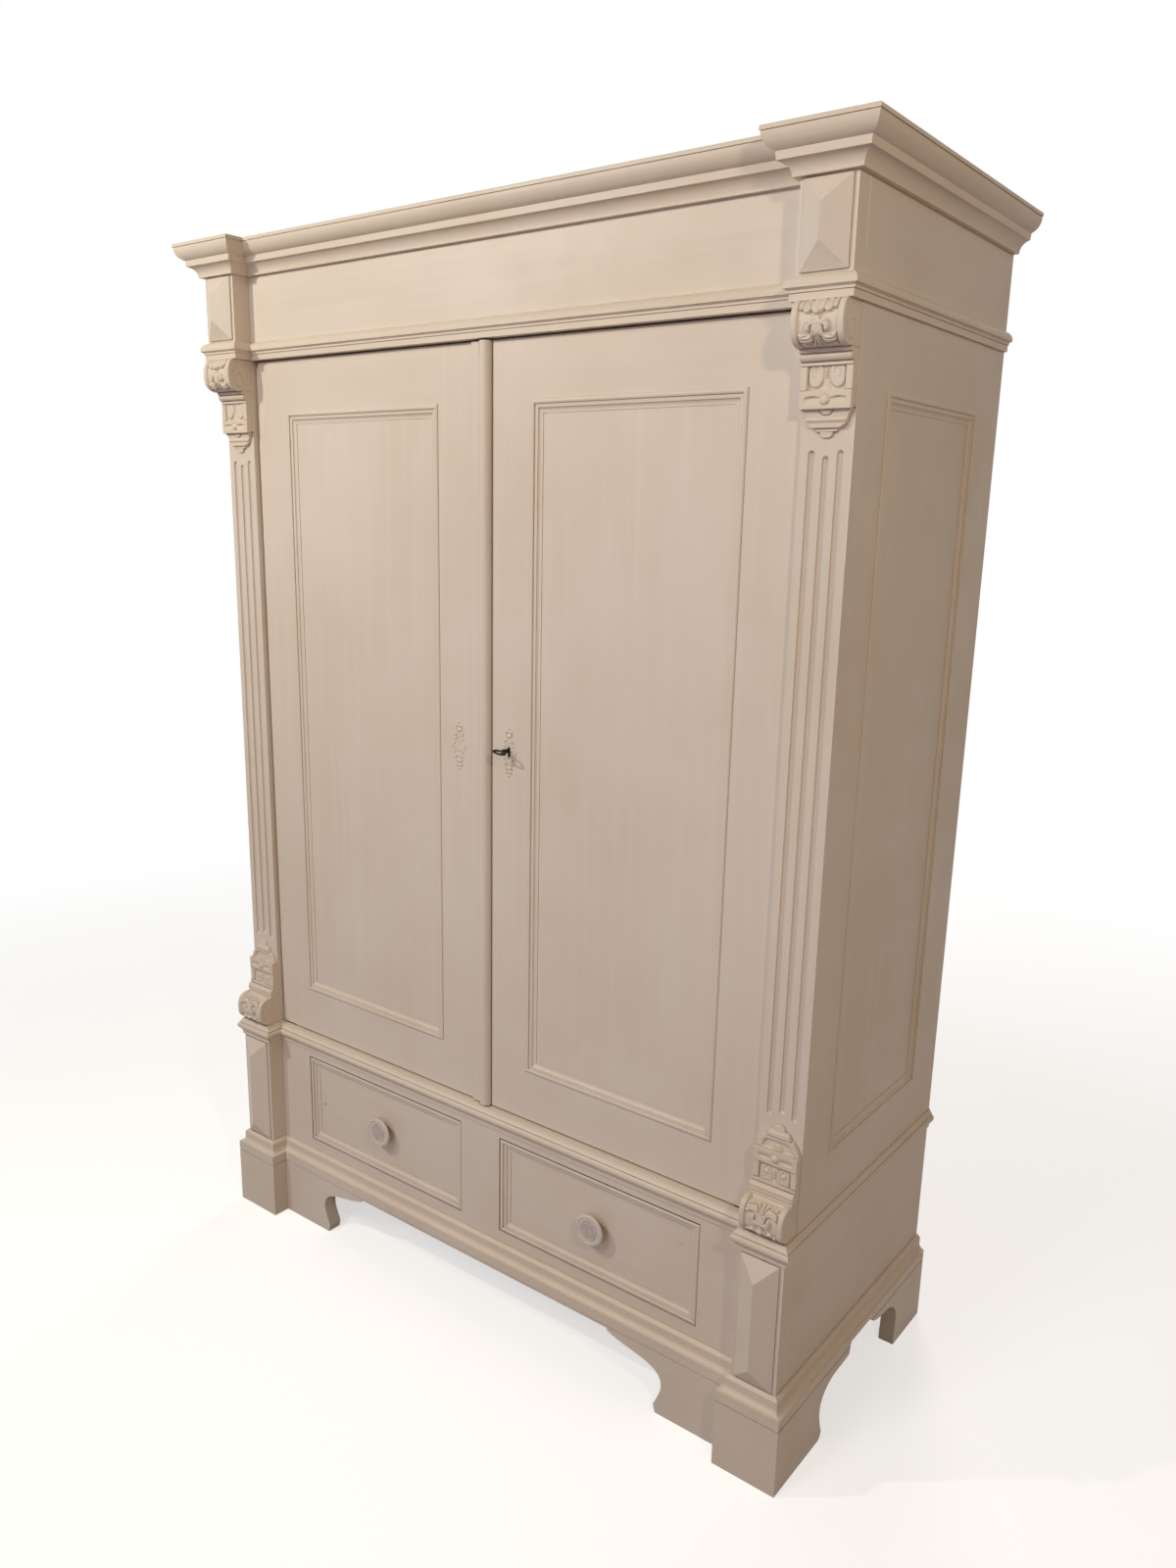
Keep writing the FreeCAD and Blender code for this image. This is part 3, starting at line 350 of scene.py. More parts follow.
LAYING = paint("paint_lengthwise", run="x", marks=(
    # Painted shadows in the gaps over the drawers
    painted_gap_shadow("drawer_left_front"), painted_gap_shadow("drawer_right_front"),
    # A nail, a worn streak down the left drawer, and a knock
    ((-470, -242, 290.5), (-469, -218, 292.5), 2.2, RUST, 0.8, 1.5),
    ((-494, -230, 255), (-490, -222, 368), 3.5, (192, 181, 172), 0.45, 0.3),
    ((455, -232, 338), (470, -222, 341), 1.6, (196, 184, 172), 0.5, 0.3)))
UPRIGHT = paint("paint_upright", run="z", marks=(
    CAULK,
    # A painted highlight along the right pilaster's arris, and a notch in it
    ((684, -235.3, 1500), (684, -234.7, 1838), 1.1, (240, 228, 210), 0.8, 0.0),
    ((684, -238, 1843), (684, -233, 1846), 2.0, (70, 46, 28), 0.9, 1.5),
    # Nails
    ((648.4, -271, 411.6), (648.4, -271, 411.6), 2.4, RUST, 0.8, 1.5),
    ((-587, -271, 1958.7), (-587, -271, 1958.7), 2.4, RUST, 0.7, 1.5),
    ((-622.4, -257, 1832.8), (-622.4, -232, 1832.8), 2.4, RUST, 0.7, 1.5),
    # A crack at the top of the meeting strip
    ((1.0, -246, 1815), (1.6, -230, 1841), 0.8, (96, 70, 50), 0.8, 1.0)))
DEEPWISE = paint("paint_deepwise", run="y", marks=(
    CAULK,
    ((684, 113, 92), (684, 114, 93), 2.4, RUST, 0.7, 1.0),
    ((684, 133, 422), (684, 133, 422), 2.4, RUST, 0.7, 1.0)))
ROUND = paint("paint_round_mouldings", wrapped=True, crevice_shade=0.62, warm=0.16)
# Painted shade in the keyhole behind the right plate, and hinge stains on the left door
DOOR_MARKS = {
    "right": (((58, -223.5, 1144), (65, -200, 1160), 1.2, (24, 18, 14), 1.0, 0.0),),
    "left": (((-603, -227, 1832), (-596, -222, 1839), 3.0, (150, 108, 66), 0.85, 1.5),
             ((-603, -227, 456), (-602, -222, 458), 3.0, (96, 66, 44), 0.8, 1.5)),
}

dress(ROUND, "cornice_moulding", "architrave_moulding", "waist_moulding", "plinth_moulding", "top_board",
      "deck_board", "plinth_corner_blocks")
dress(LAYING, "crown_front_board", "plinth_front_board")
dress(DEEPWISE, "crown_sides", "base_side_boards", "plinth_side_boards")
dress(UPRIGHT, "crown_corner_blocks", "crown_lozenges", "base_corner_blocks", "base_lozenges",
      "pilaster_right", "door_left_panel", "door_right_panel", "door_left_strip",
      "side_panel_left", "side_panel_right", "corbel_upper_left", "corbel_upper_right",
      "corbel_lower_left", "corbel_lower_right", "door_left_escutcheon", "door_right_escutcheon")
dress(paint("paint_left_pilaster", run="z", crevice_shade=0.14), "pilaster_left")
for side in ("left", "right"):
    mould = opening_of("door_" + side + "_moulding", "x")
    dress(paint("paint_door_frame_" + side, frame_box=mould, marks=DOOR_MARKS[side]),
          "door_" + side + "_frame")
    # The door and drawer mouldings get stronger painted shade in their grooves
    dress(paint("paint_door_mould_" + side, frame_box=mould, mitred=True, crevice_shade=0.72, warm=0.06),
          "door_" + side + "_moulding")
    drawer = opening_of("drawer_" + side + "_moulding", "x")
    dress(paint("paint_drawer_mould_" + side, frame_box=drawer, mitred=True, crevice_shade=0.80, warm=0.06),
          "drawer_" + side + "_moulding")
    dress(LAYING, "drawer_" + side + "_front")
    low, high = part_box("drawer_" + side + "_knob")
    dress(knob_paint("paint_knob_" + side, (low + high) / 2), "drawer_" + side + "_knob")
    dress(pine("pine_drawer_" + side, "y"), "drawer_" + side + "_box")
side_box = opening_of("side_panel_right", "y", -0.008)
dress(paint("paint_side_frames", frame_box=side_box), "side_frames")
dress(paint("paint_side_mouldings", frame_box=side_box, mitred=True), "side_mouldings")
dress(LAYING, "base_front_frame")

PINE_X = pine("pine_lengthwise", "x")
PINE_Y = pine("pine_deepwise", "y")
dress(PINE_X, "shelves", "base_bottom_board", "base_back_board", "crown_back_rail", "plinth_back_rail",
      "door_stops")
BACK_BOARD_COUNT = 5
low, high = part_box("back_boards")
dress(pine("pine_back_boards", "z", (low[0], (high[0] - low[0]) / BACK_BOARD_COUNT)), "back_boards")
dress(PINE_Y, "shelf_bearers", "drawer_guides")

IRON = iron("black_iron")
dress(IRON, "key", "lock_case")
dress(iron("old_steel", (92, 86, 78), (142, 130, 112)), "lock_bolt", "strike_plate",
      "frame_pivots", "door_left_pivots", "door_right_pivots")

# Carved corbels: x runs across from a corbel's middle, s along its front from the block's
# outer end to the volute's end, both in millimetres

BODY_SHARES = {
    "upper": [
        (0.0, 0.0), (0.285, 0.0), (0.285, 0.176), (0.228, 0.176), (0.228, 0.413), (0.289, 0.413),
        (0.289, 0.441), (0.262, 0.444), (0.262, 0.449), (0.31, 0.452), (0.365, 0.462), (0.40, 0.480),
        (0.415, 0.498),
        (0.408, 0.512), (0.39, 0.518), (0.37, 0.519), (0.37, 0.529), (0.44, 0.532), (0.45, 0.569),
        (0.41, 0.572), (0.41, 0.575),
    ],
    "lower": [
        (0.0, 0.0), (0.288, 0.0), (0.288, 0.169), (0.215, 0.169), (0.215, 0.385), (0.295, 0.385),
        (0.295, 0.419), (0.27, 0.421), (0.27, 0.426), (0.33, 0.428), (0.38, 0.440), (0.41, 0.458),
        (0.42, 0.476),
        (0.40, 0.496), (0.44, 0.499), (0.44, 0.521), (0.40, 0.525), (0.385, 0.54), (0.40, 0.560),
    ],
}
VOLUTE_SHARES = {
    "upper": [
        (0.41, 0.575), (0.60, 0.580), (0.79, 0.606), (0.93, 0.66), (0.985, 0.73), (1.0, 0.80),
        (0.985, 0.87), (0.935, 0.93), (0.85, 0.975), (0.735, 1.0),
    ],
    "lower": [
        (0.40, 0.560), (0.60, 0.566), (0.765, 0.583), (0.92, 0.633), (0.985, 0.71), (1.0, 0.79),
        (0.975, 0.87), (0.87, 0.925), (0.70, 0.968), (0.56, 1.0),
    ],
}
# Projection, height, how far the end's top is let into the body, and s at the volute's end
CORBEL_SIZES = {"upper": (51.5, 134.4, 2.4, 160.3), "lower": (51.0, 139.0, 3.0, 164.9)}
UPPER_END = [
    (39.2, 0), (39.2, 3), (36.5, 6), (33.8, 9.5), (31, 16), (30, 20), (25, 24.5), (19, 27.5),
    (16.5, 29), (16.5, 31), (10.3, 31.3), (10, 34), (7.5, 37.8), (3.5, 39.7), (0, 40),
]
LOWER_END = [
    (39.2, 0), (38.5, 4), (36.5, 9), (33, 16), (29.5, 21), (25.7, 25), (21, 27), (19.5, 31),
    (17.5, 35.5), (10, 37), (9, 41), (5.2, 44.8), (0, 46),
]
UPPER_END_DEPTHS = [
    (0, 8), (3, 8), (9.5, 6.5), (13, 6), (14.5, 7), (16, 7.8), (17.8, 7), (19, 5.4), (20.8, 5.4),
    (21.2, 7.2), (26.3, 7.2), (26.8, 3.4), (29, 3.4), (29.4, 4.8), (31, 4.8), (31.5, 4.2), (40, 3.6),
]
LOWER_END_DEPTHS = [
    (0, 8.5), (24.6, 8.5), (25.0, 5.0), (25.8, 5.0), (26.2, 8.8), (33, 8.2), (34.2, 5.6), (46, 4.4),
]
# Half a corbel's width, and the mesh's spacing
HALF = 39.2
STEP = 0.85


def distance_to(x, s, points):
    best = np.full(x.shape, 1e9)
    points = np.array(points, float)
    for start, end in zip(points[:-1], points[1:]):
        dx, ds = end - start
        t = np.clip(((x - start[0]) * dx + (s - start[1]) * ds) / max(dx * dx + ds * ds, 1e-9), 0, 1)
        best = np.minimum(best, np.hypot(x - start[0] - t * dx, s - start[1] - t * ds))
    return best


def smooth(value, low, high):
    t = np.clip((value - low) / (high - low), 0, 1)
    return t * t * (3 - 2 * t)


def curve(points, steps=6):
    """A smooth line through a few points."""
    p = [points[0]] + list(points) + [points[-1]]
    line = []
    for k in range(1, len(p) - 2):
        a, b, c, d = (np.array(v, float) for v in p[k - 1:k + 3])
        for t in np.linspace(0, 1, steps, endpoint=False):
            line.append(0.5 * (2 * b + (c - a) * t + (2 * a - 5 * b + 4 * c - d) * t ** 2
                               + (3 * b - a - 3 * c + d) * t ** 3))
    line.append(np.array(p[-2], float))
    return line


def within(x, s, outline):
    """Distance in from a closed outline, negative outside."""
    line = curve(list(outline) + [outline[0]])
    gap = distance_to(x, s, line)
    hit = np.zeros(x.shape, bool)
    for (x0, s0), (x1, s1) in zip(line[:-1], line[1:]):
        if s0 != s1:
            hit ^= ((s0 > s) != (s1 > s)) & (x < x0 + (s - s0) * (x1 - x0) / (s1 - s0))
    return np.where(hit, gap, -gap)


def dome(depth, width, height):
    t = np.clip(depth / width, 0, 1)
    return height * np.sqrt(t * (2 - t))


def groove(x, s, points, width, depth):
    return -depth * np.exp(-(distance_to(x, s, curve(points)) / width) ** 2)


def ball(x, s, centre, radius, height):
    return height * np.sqrt(np.clip(1 - np.hypot(x - centre[0], s - centre[1]) ** 2 / radius ** 2, 0, 1))


def leaf_relief(x, s, level):
    """The volute's front: raised side bands, a scalloped lip, and an acanthus leaf between."""
    a = np.abs(x)
    band = smooth(a, 28.6, 29.6)
    relief = -1.9 * (1 - band) + band * (0.3 + 1.1 * np.sqrt(np.clip(1 - ((a - 34.4) / 5.2) ** 2, 0, 1)))
    field = 1 - smooth(a, 27.8, 28.6)
    leaf = np.zeros(x.shape)
    pleats = (
        ([(0, 113), (0, 101), (0, 90)], 3.0), ([(2, 113), (5, 102), (8.5, 92)], 3.0),
        ([(4, 108), (9, 99), (17, 94.5), (24, 94)], 3.2),
    )
    for line, half in pleats:
        leaf = np.maximum(leaf, dome(half - distance_to(a, s, curve(line)), half, 2.9))
    lobe = within(a, s, [(-5, 126), (0, 126), (5, 125), (8.5, 120), (9.6, 113), (12, 109), (20, 110),
                         (27.5, 112.5), (28.5, 107), (27, 100.5), (20, 97.5), (13, 97.5), (8, 100.5),
                         (6, 105), (2, 108), (-5, 108)])
    leaf = np.maximum(leaf, dome(lobe, 3.6, 3.7))
    stem = within(x, s, [(-4.8, 139), (4.8, 139), (4.0, 128), (7, 117), (-7, 117), (-4.0, 128)])
    leaf = np.maximum(leaf, dome(stem, 2.6, 2.6))
    scroll = within(a, s, [(-5, 128), (0, 128), (5, 128.5), (11, 129.5), (16, 127.5), (18.5, 122),
                           (18, 117), (15, 113.5), (11.5, 113), (10, 116), (9.5, 119.5), (6, 121),
                           (0, 121), (-5, 121)])
    leaf = np.maximum(leaf, dome(scroll, 2.8, 3.9))
    leaf += ball(a, s, (14.3, 116.8), 2.8, 0.7)
    leaf += groove(a, s, [(11.3, 124.5), (15.2, 124), (16.6, 119.5)], 0.6, 1.2) * (scroll > -1)
    leaf += groove(a, s, [(4, 114), (9, 106), (18, 103.5), (26, 105)], 0.6, 1.2) * (lobe > -1)
    leaf += groove(a, s, [(9.7, 120), (9, 115), (10.5, 110.7), (15, 108), (21, 107.6)], 0.65, 2.2)
    leaf += groove(a, s, [(5.6, 106.5), (5.9, 102), (9, 97), (14, 95.6), (20, 95.4)], 0.65, 2.2)
    leaf += groove(a, s, [(1.6, 111), (2.7, 100), (4.2, 90)], 0.5, 1.5)
    leaf += groove(a, s, [(4.4, 108), (7.4, 100), (11.5, 92)], 0.5, 1.5)
    relief += np.maximum(leaf, 0) * field
    edge = np.minimum(134.5 + 6 * (x / 9) ** 2, 137 + 6 * ((a - 15.5) / 7) ** 2)
    edge = np.minimum(edge, 141 + 6 * ((a - 25) / 5) ** 2)
    lip = smooth(s - edge, -0.5, 0.7) * field
    over = 3.3 + 0.5 * np.cos((s - edge) / 5.0)
    folds = groove(a, s, [(9.3, 140), (10.5, 148), (10, 158)], 0.8, 1.5)
    folds += groove(a, s, [(20.3, 143), (21.5, 150), (20, 158)], 0.75, 1.3)
    folds += groove(a, s, [(15.5, 141), (15.2, 156)], 0.6, 0.8)
    folds += groove(a, s, [(0, 139), (0, 156)], 0.6, 0.8)
    if level == "lower":
        over -= 8.5 * smooth(s - edge, 4.5, 6.0) * (1 - smooth(a, 24, 28))
    relief += lip * (over + folds)
    return relief


def panel_relief(x, s, level):
    """The sunk panel: two comma scrolls, and a line of beads between them."""
    a = np.abs(x)
    strip = smooth(a, 27.8, 28.8)
    relief = -1.6 * (1 - strip) * smooth(a, 2.0, 8.0) - 0.6 * (1 - strip) + 2.0 * strip
    comma = within(a, s, [(5, 54), (4.6, 41), (6.5, 34), (11, 29.2), (16.5, 27.6), (22, 29.2), (26, 34),
                          (27.2, 42), (26.8, 50), (24.5, 55.5), (17, 58), (9, 57.5)])
    lobe = dome(comma, 2.4, 2.8) * (comma > 0)
    if level == "upper":
        lobe -= ball(a, s, (14.5, 50.5), 3.4, 1.3) + ball(a, s, (19.5, 41.5), 2.0, 0.7)
        lobe += groove(a, s, [(10.5, 46), (12.5, 53.5), (18, 55), (21.5, 50), (20, 45)], 0.65, 1.0)
        beads = (41.5, 45.2, 48.9, 52.6)
    else:
        lobe -= ball(a, s, (15.5, 32.5), 3.4, 1.7)
        lobe += ball(a, s, (15, 38.5), 2.8, 0.9)
        lobe += groove(a, s, [(10.5, 34), (10, 40), (14, 44.5), (19.5, 42), (21, 36)], 0.65, 1.0)
        lobe += groove(a, s, [(8, 50), (14, 47), (22, 50)], 0.65, 0.9)
        beads = (33.5, 37.3, 41.1, 44.9)
    relief += np.maximum(lobe, 0)
    for place in beads:
        relief += ball(x, s, (0, place), 1.8, 2.0)
    return relief


def block_relief(x, s):
    """The block: two sinkings with a sharp inner edge, and a round boss."""
    a = np.abs(x)
    along = np.clip(1 - ((a - 19.5) / 11.8) ** 2, 0, 1)
    top = 16.6 - 2.0 * (1 - along)
    sunk = smooth(top - s, 0.0, 0.9) * smooth(s, 6.0, 15.0) * (along > 0.02) * along ** 0.4
    relief = -3.0 * sunk
    boss = np.hypot(x, s - 11.6)
    relief = np.where(boss < 8.2, np.minimum(relief, -0.5 * (boss > 6.4)), relief)
    return relief + 2.4 * np.sqrt(np.clip(1 - (boss / 6.5) ** 2, 0, 1))


def side_relief(y, z, body_height):
    """The volute's flat side: a spiral line round a flat eye."""
    k = body_height / 132.0
    ring = [(33, 118 * k), (40, 110 * k), (41.5, 98 * k), (36, 88 * k), (28, 82.5 * k), (19.5, 86 * k),
            (16, 95 * k), (19, 104 * k), (26, 107 * k), (31.5, 102 * k), (31, 95 * k)]
    relief = groove(y, z, ring, 0.9, 1.3)
    relief += groove(y, z, [(7, 108 * k), (7, 97 * k), (9, 88 * k), (17, 74.5 * k)], 0.8, 1.0)
    relief += ball(y, z, (25.5, 97 * k), 3.6, 0.7)
    return relief + groove(y, z, [(6, 127 * k), (22, 128 * k), (33, 125 * k)], 0.8, 0.9)


def end_surface(x, h, level):
    """How far the tapered end stands out, h away from the block."""
    if level == "upper":
        y = np.interp(h, *zip(*UPPER_END_DEPTHS))
        disc = np.hypot(x / 10.5, h / 9.6)
        y = y + 1.5 * (disc < 1) - 1.6 * np.exp(-((disc - 1.07) / 0.09) ** 2) * (h > 2.0)
    else:
        y = np.interp(h, *zip(*LOWER_END_DEPTHS))
        arch = within(x, h, [(-27.5, 4), (-26.5, 10), (-24.5, 15), (-20, 19.4), (-8, 20.2), (8, 20.2),
                             (20, 19.4), (24.5, 15), (26.5, 10), (27.5, 4)])
        y = y - 3.4 * smooth(arch, 0.0, 0.9)
        y = y + 3.0 * (np.hypot(x, h - 4) < 9.2) * (h > 4)
        y = y - 2.2 * smooth(np.abs(x), 20.5, 21.5) * (h > 24)
    return y


def resampled(points, step):
    points = np.array(points, float)
    rows = [points[0]]
    for start, end in zip(points[:-1], points[1:]):
        count = max(1, int(math.ceil(np.hypot(*(end - start)) / step)))
        for k in range(1, count + 1):
            rows.append(start + (end - start) * k / count)
    return np.array(rows)


def corbel_mesh(level, end_outline):
    """Points and faces of a corbel, volute uppermost: x across, y out from the pilaster."""
    projection, body_height, overlap, reach = CORBEL_SIZES[level]
    vertices, faces = [], []

    def sheet(grid, flip=False):
        start = len(vertices)
        rows, columns = grid.shape[:2]
        vertices.extend(map(tuple, grid.reshape(-1, 3)))
        for r in range(rows - 1):
            for c in range(columns - 1):
                k = start + r * columns + c
                quad = (k, k + 1, k + columns + 1, k + columns)
                faces.append(quad[::-1] if flip else quad)

    scale = np.array([projection, body_height])
    body = resampled(np.array(BODY_SHARES[level]) * scale, STEP)
    volute = resampled(np.array(curve(VOLUTE_SHARES[level])) * scale, STEP)
    rows = np.vstack([body, volute[1:]])
    run = np.hypot(*np.vstack([np.zeros(2), np.diff(rows, axis=0)]).T).cumsum()
    tangent = np.gradient(rows, axis=0)
    tangent /= np.maximum(np.hypot(*tangent.T), 1e-9)[:, None]
    normal = np.stack([tangent[:, 1], -tangent[:, 0]], axis=1)
    columns = int(2 * HALF / STEP) + 1
    x = np.linspace(-HALF, HALF, columns)[None, :].repeat(len(rows), 0)
    z = rows[:, 1][:, None].repeat(columns, 1)
    share = z / body_height
    is_volute = (np.arange(len(rows)) >= len(body) + 4)[:, None] & np.ones(x.shape, bool)
    s = (run[:, None] - run[-1] + reach).repeat(columns, 1)
    block_top, panel_top = BODY_SHARES[level][2][1], BODY_SHARES[level][4][1]
    relief = np.where((share > 0.002) & (share < block_top - 0.002), block_relief(x, z), 0.0)
    in_panel = (share > block_top + 0.004) & (share < panel_top - 0.003) & ~is_volute
    panel_s = z + (0.6 if level == "upper" else -0.6)
    relief = np.where(in_panel, panel_relief(x, panel_s, level), relief)
    carved = leaf_relief(x, s, level) * smooth(run[-1] - run, 0, 2.0)[:, None]
    starting = smooth(run - run[len(body)], 3.0, 8.0)[:, None]
    relief = 1.3 * np.where(is_volute, carved * starting, relief)
    y = rows[:, 0][:, None] + relief * normal[:, 0][:, None]
    z = np.clip(z + relief * normal[:, 1][:, None], 0, body_height)
    rim = np.clip((HALF - np.abs(x)) / 1.6, 0, 1)
    y = y - 1.4 * (1 - np.sqrt(rim * (2 - rim)))
    front = np.stack([x, y, z], axis=2)
    sheet(front)

    depth_steps = 44
    for side in (-1, 1):
        t = np.linspace(0, 1, depth_steps)[None, :]
        edge = front[:, -1 if side > 0 else 0, :]
        ys = edge[:, 1][:, None] * t
        zs = edge[:, 2][:, None].repeat(depth_steps, 1)
        inset = np.minimum(side_relief(ys, zs, body_height), 0.7) * (zs > 0.56 * body_height)
        inset = inset * smooth(1 - t, 0.0, 0.05)
        sheet(np.stack([side * (HALF + np.minimum(inset, 0.6)), ys, zs], axis=2), flip=side > 0)

    outline = resampled(end_outline, STEP)
    columns = 93
    t = np.linspace(-1, 1, columns)[None, :]
    x = outline[:, 0][:, None] * t
    h = outline[:, 1][:, None].repeat(columns, 1)
    rim = np.clip((outline[:, 0][:, None] - np.abs(x)) / 1.8, 0, 1)
    tip = np.clip((outline[-1, 1] - h) / 2.0, 0, 1)
    y = end_surface(x, h, level) - 2.6 * (1 - np.sqrt(rim * (2 - rim)) * np.sqrt(tip * (2 - tip)))
    face = np.stack([x, np.clip(y, 0.8, 12.0), overlap - h], axis=2)[::-1]
    sheet(face)
    for side in (0, -1):
        edge = face[:, side, :]
        behind = edge.copy()
        behind[:, 1] = 0.0
        sheet(np.stack([edge, behind], axis=1), flip=side == 0)
    return np.array(vertices), faces


def add_piece(name, kind, points, faces, material, body, clean, replaced=None):
    """A smooth mesh, its points in metres, that rides on a body. clean mends the mesh.

    replaced is the CAD node that it stands for.
    """
    mesh = bpy.data.meshes.new(kind)
    mesh.from_pydata(points, [], faces)
    tidy = bmesh.new()
    tidy.from_mesh(mesh)
    clean(tidy)
    bmesh.ops.recalc_face_normals(tidy, faces=tidy.faces)
    tidy.to_mesh(mesh)
    tidy.free()
    for polygon in mesh.polygons:
        polygon.use_smooth = True
    obj = bpy.data.objects.new(name, mesh)
    bpy.context.scene.collection.objects.link(obj)
    mesh.materials.append(material)
    if replaced:
        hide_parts(replaced)
    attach(obj, body)


def join_doubles(tidy):
    bmesh.ops.remove_doubles(tidy, verts=tidy.verts, dist=0.00002)


def join_and_dissolve(tidy):
    join_doubles(tidy)
    bmesh.ops.dissolve_degenerate(tidy, edges=tidy.edges, dist=0.00001)


def fill_holes(tidy):
    bmesh.ops.holes_fill(tidy, edges=tidy.edges)


def make_corbels():
    for level in ("upper", "lower"):
        name = "corbel_" + level + "_"
        low, high = box_mm(name + "right")
        middle_x = (low[0] + high[0]) / 2
        points, faces = corbel_mesh(level, UPPER_END if level == "upper" else LOWER_END)
        body_height = CORBEL_SIZES[level][1]
        for side in ("right", "left"):
            place = points.copy()
            place[:, 0] = middle_x + points[:, 0]
            place[:, 1] = high[1] - points[:, 1]
            turned = level == "lower"
            if turned:
                place[:, 2] = low[2] + body_height - points[:, 2]
            else:
                place[:, 2] = high[2] - body_height + points[:, 2]
            if side == "left":
                place[:, 0] = -place[:, 0]
                turned = not turned
            add_piece("carved_" + name + side, "corbel", (place * MM).tolist(),
                      [f[::-1] for f in faces] if turned else faces,
                      CARVED, "carcass", join_and_dissolve, name + side)


# Painted-over escutcheons: a quarter of the outline from the top tip to the side tip, and
# lumps and lines of the worn casting, in millimetres from the middle
PLATE_EDGE = [
    (0, 45), (2.2, 44.2), (3.1, 41.8), (2.9, 39.9), (5.2, 39.8), (7.4, 38), (7.8, 34.8), (6.1, 32.2),
    (5.8, 29.6), (6.7, 26.2), (7.2, 24.4), (9.4, 24), (11, 21.2), (10.6, 17.6), (9.2, 15.2), (10, 13.6),
    (12, 12.6), (12.8, 10.4), (12.4, 8.2), (13, 7.2), (15.4, 6.4), (17.4, 3.8), (18, 0),
]
PLATE_LUMPS = [
    (0, 42.6, 1.8, 2.0, 1.3), (5.2, 36.2, 2.3, 3.0, 1.5), (0, 36.6, 1.9, 1.7, 1.0),
    (0, 28.6, 4.6, 3.0, 1.5), (8.4, 20.4, 2.3, 3.4, 1.5), (3.8, 17.6, 1.8, 2.2, 0.8),
    (10, 11.2, 2.2, 2.1, 1.4), (12.4, 4.4, 2.3, 2.2, 1.3), (15.6, 0.6, 1.9, 2.6, 1.3),
    (2.6, 22.8, 1.5, 1.4, 0.7),
]
PLATE_LINES = [
    ([(0.5, 24.2), (3.5, 24.6), (6.2, 25.6)], 0.8, 1.3),
    ([(5.6, 22.4), (6.2, 17.8), (8.8, 16.2)], 0.7, 1.2),
    ([(1.5, 39.4), (3.4, 37.6), (3.6, 34)], 0.6, 0.9), ([(1.0, 33.2), (4, 32.4)], 0.6, 0.8),
    ([(6.8, 13.6), (8, 9.6), (11.4, 8.4)], 0.7, 1.1),
    ([(10.2, 5.4), (10.8, 2.4), (13.6, 1.6)], 0.6, 1.0),
    ([(0, 14), (4.0, 12), (6.2, 6), (6.6, 0)], 0.7, 0.9),
]


def plate_relief(x, z):
    a, h = np.abs(x), np.abs(z)
    relief = np.full(x.shape, 0.5)
    for across, along, width, height, rise in PLATE_LUMPS:
        round_ = np.clip(1 - ((a - across) / width) ** 2 - ((h - along) / height) ** 2, 0, 1)
        relief = np.maximum(relief, 0.5 + 1.35 * rise * np.sqrt(round_))
    for points, width, depth in PLATE_LINES:
        relief += 1.6 * groove(a, h, points, width, depth)
    return np.clip(relief, 0.1, 2.45)


def make_escutcheons():
    quarter = np.array(curve(PLATE_EDGE, 5))
    edge = np.vstack([quarter, quarter[-2::-1] * (1, -1), quarter[1:] * (-1, -1),
                      quarter[-2:0:-1] * (-1, 1)])
    turn = np.arctan2(edge[:, 0], edge[:, 1])
    # The keyhole: a slot with round ends, met at the same angles
    radius, half = 3.4, 9.5
    reach = np.linspace(0.5, 16, 400)[None, :]
    px, pz = reach * np.sin(turn)[:, None], reach * np.cos(turn)[:, None]
    clear = np.hypot(px, np.maximum(np.abs(pz) - (half - radius), 0)) < radius
    slot = reach[0][clear.sum(1).clip(0, 399)]
    hole = np.stack([slot * np.sin(turn), slot * np.cos(turn)], axis=1)
    for side in ("left", "right"):
        name = "door_" + side + "_escutcheon"
        low, high = box_mm(name)
        middle = (low + high) / 2 + Vector((2.5, 0, -3.0) if side == "left" else (0, 0, 0))
        inner = hole if side == "right" else hole * 0.03
        steps = 40
        t = np.linspace(0, 1, steps)[:, None, None]
        flat = inner[None] * (1 - t) + edge[None] * t
        x, z = flat[..., 0], flat[..., 1]
        rise = plate_relief(x, z)
        if side == "left":
            rise += groove(x, z, [(-1.6, 3.5), (-2.0, 0), (-1.8, -3.5)], 0.8, 0.9)
            rise += ball(x, z, (1.4, -7.5), 3.0, 0.8)
        rise = np.clip(rise, 0.1, 2.45) * np.sqrt(np.clip((1 - t[..., 0]) / 0.05, 0, 1)).clip(0.08, 1)
        count = x.shape[1]
        front = np.stack([middle[0] + x, high[1] - rise, middle[2] + z], axis=2).reshape(-1, 3)
        back = front.copy()
        back[:, 1] = high[1]
        points = np.vstack([front, back])
        faces = []
        for r in range(steps - 1):
            for c in range(count):
                k, n = r * count + c, r * count + (c + 1) % count
                faces.append((k, n, n + count, k + count))
                faces.append(tuple(v + len(front) for v in (k + count, n + count, n, k)))
        for start, order in ((0, -1), ((steps - 1) * count, 1)):
            for c in range(count):
                k, n = start + c, start + (c + 1) % count
                faces.append((k, n, n + len(front), k + len(front))[::order])
        add_piece("cast_" + name, "escutcheon", (points * MM).tolist(), faces,
                  CAST, "door_" + side, join_doubles, name)


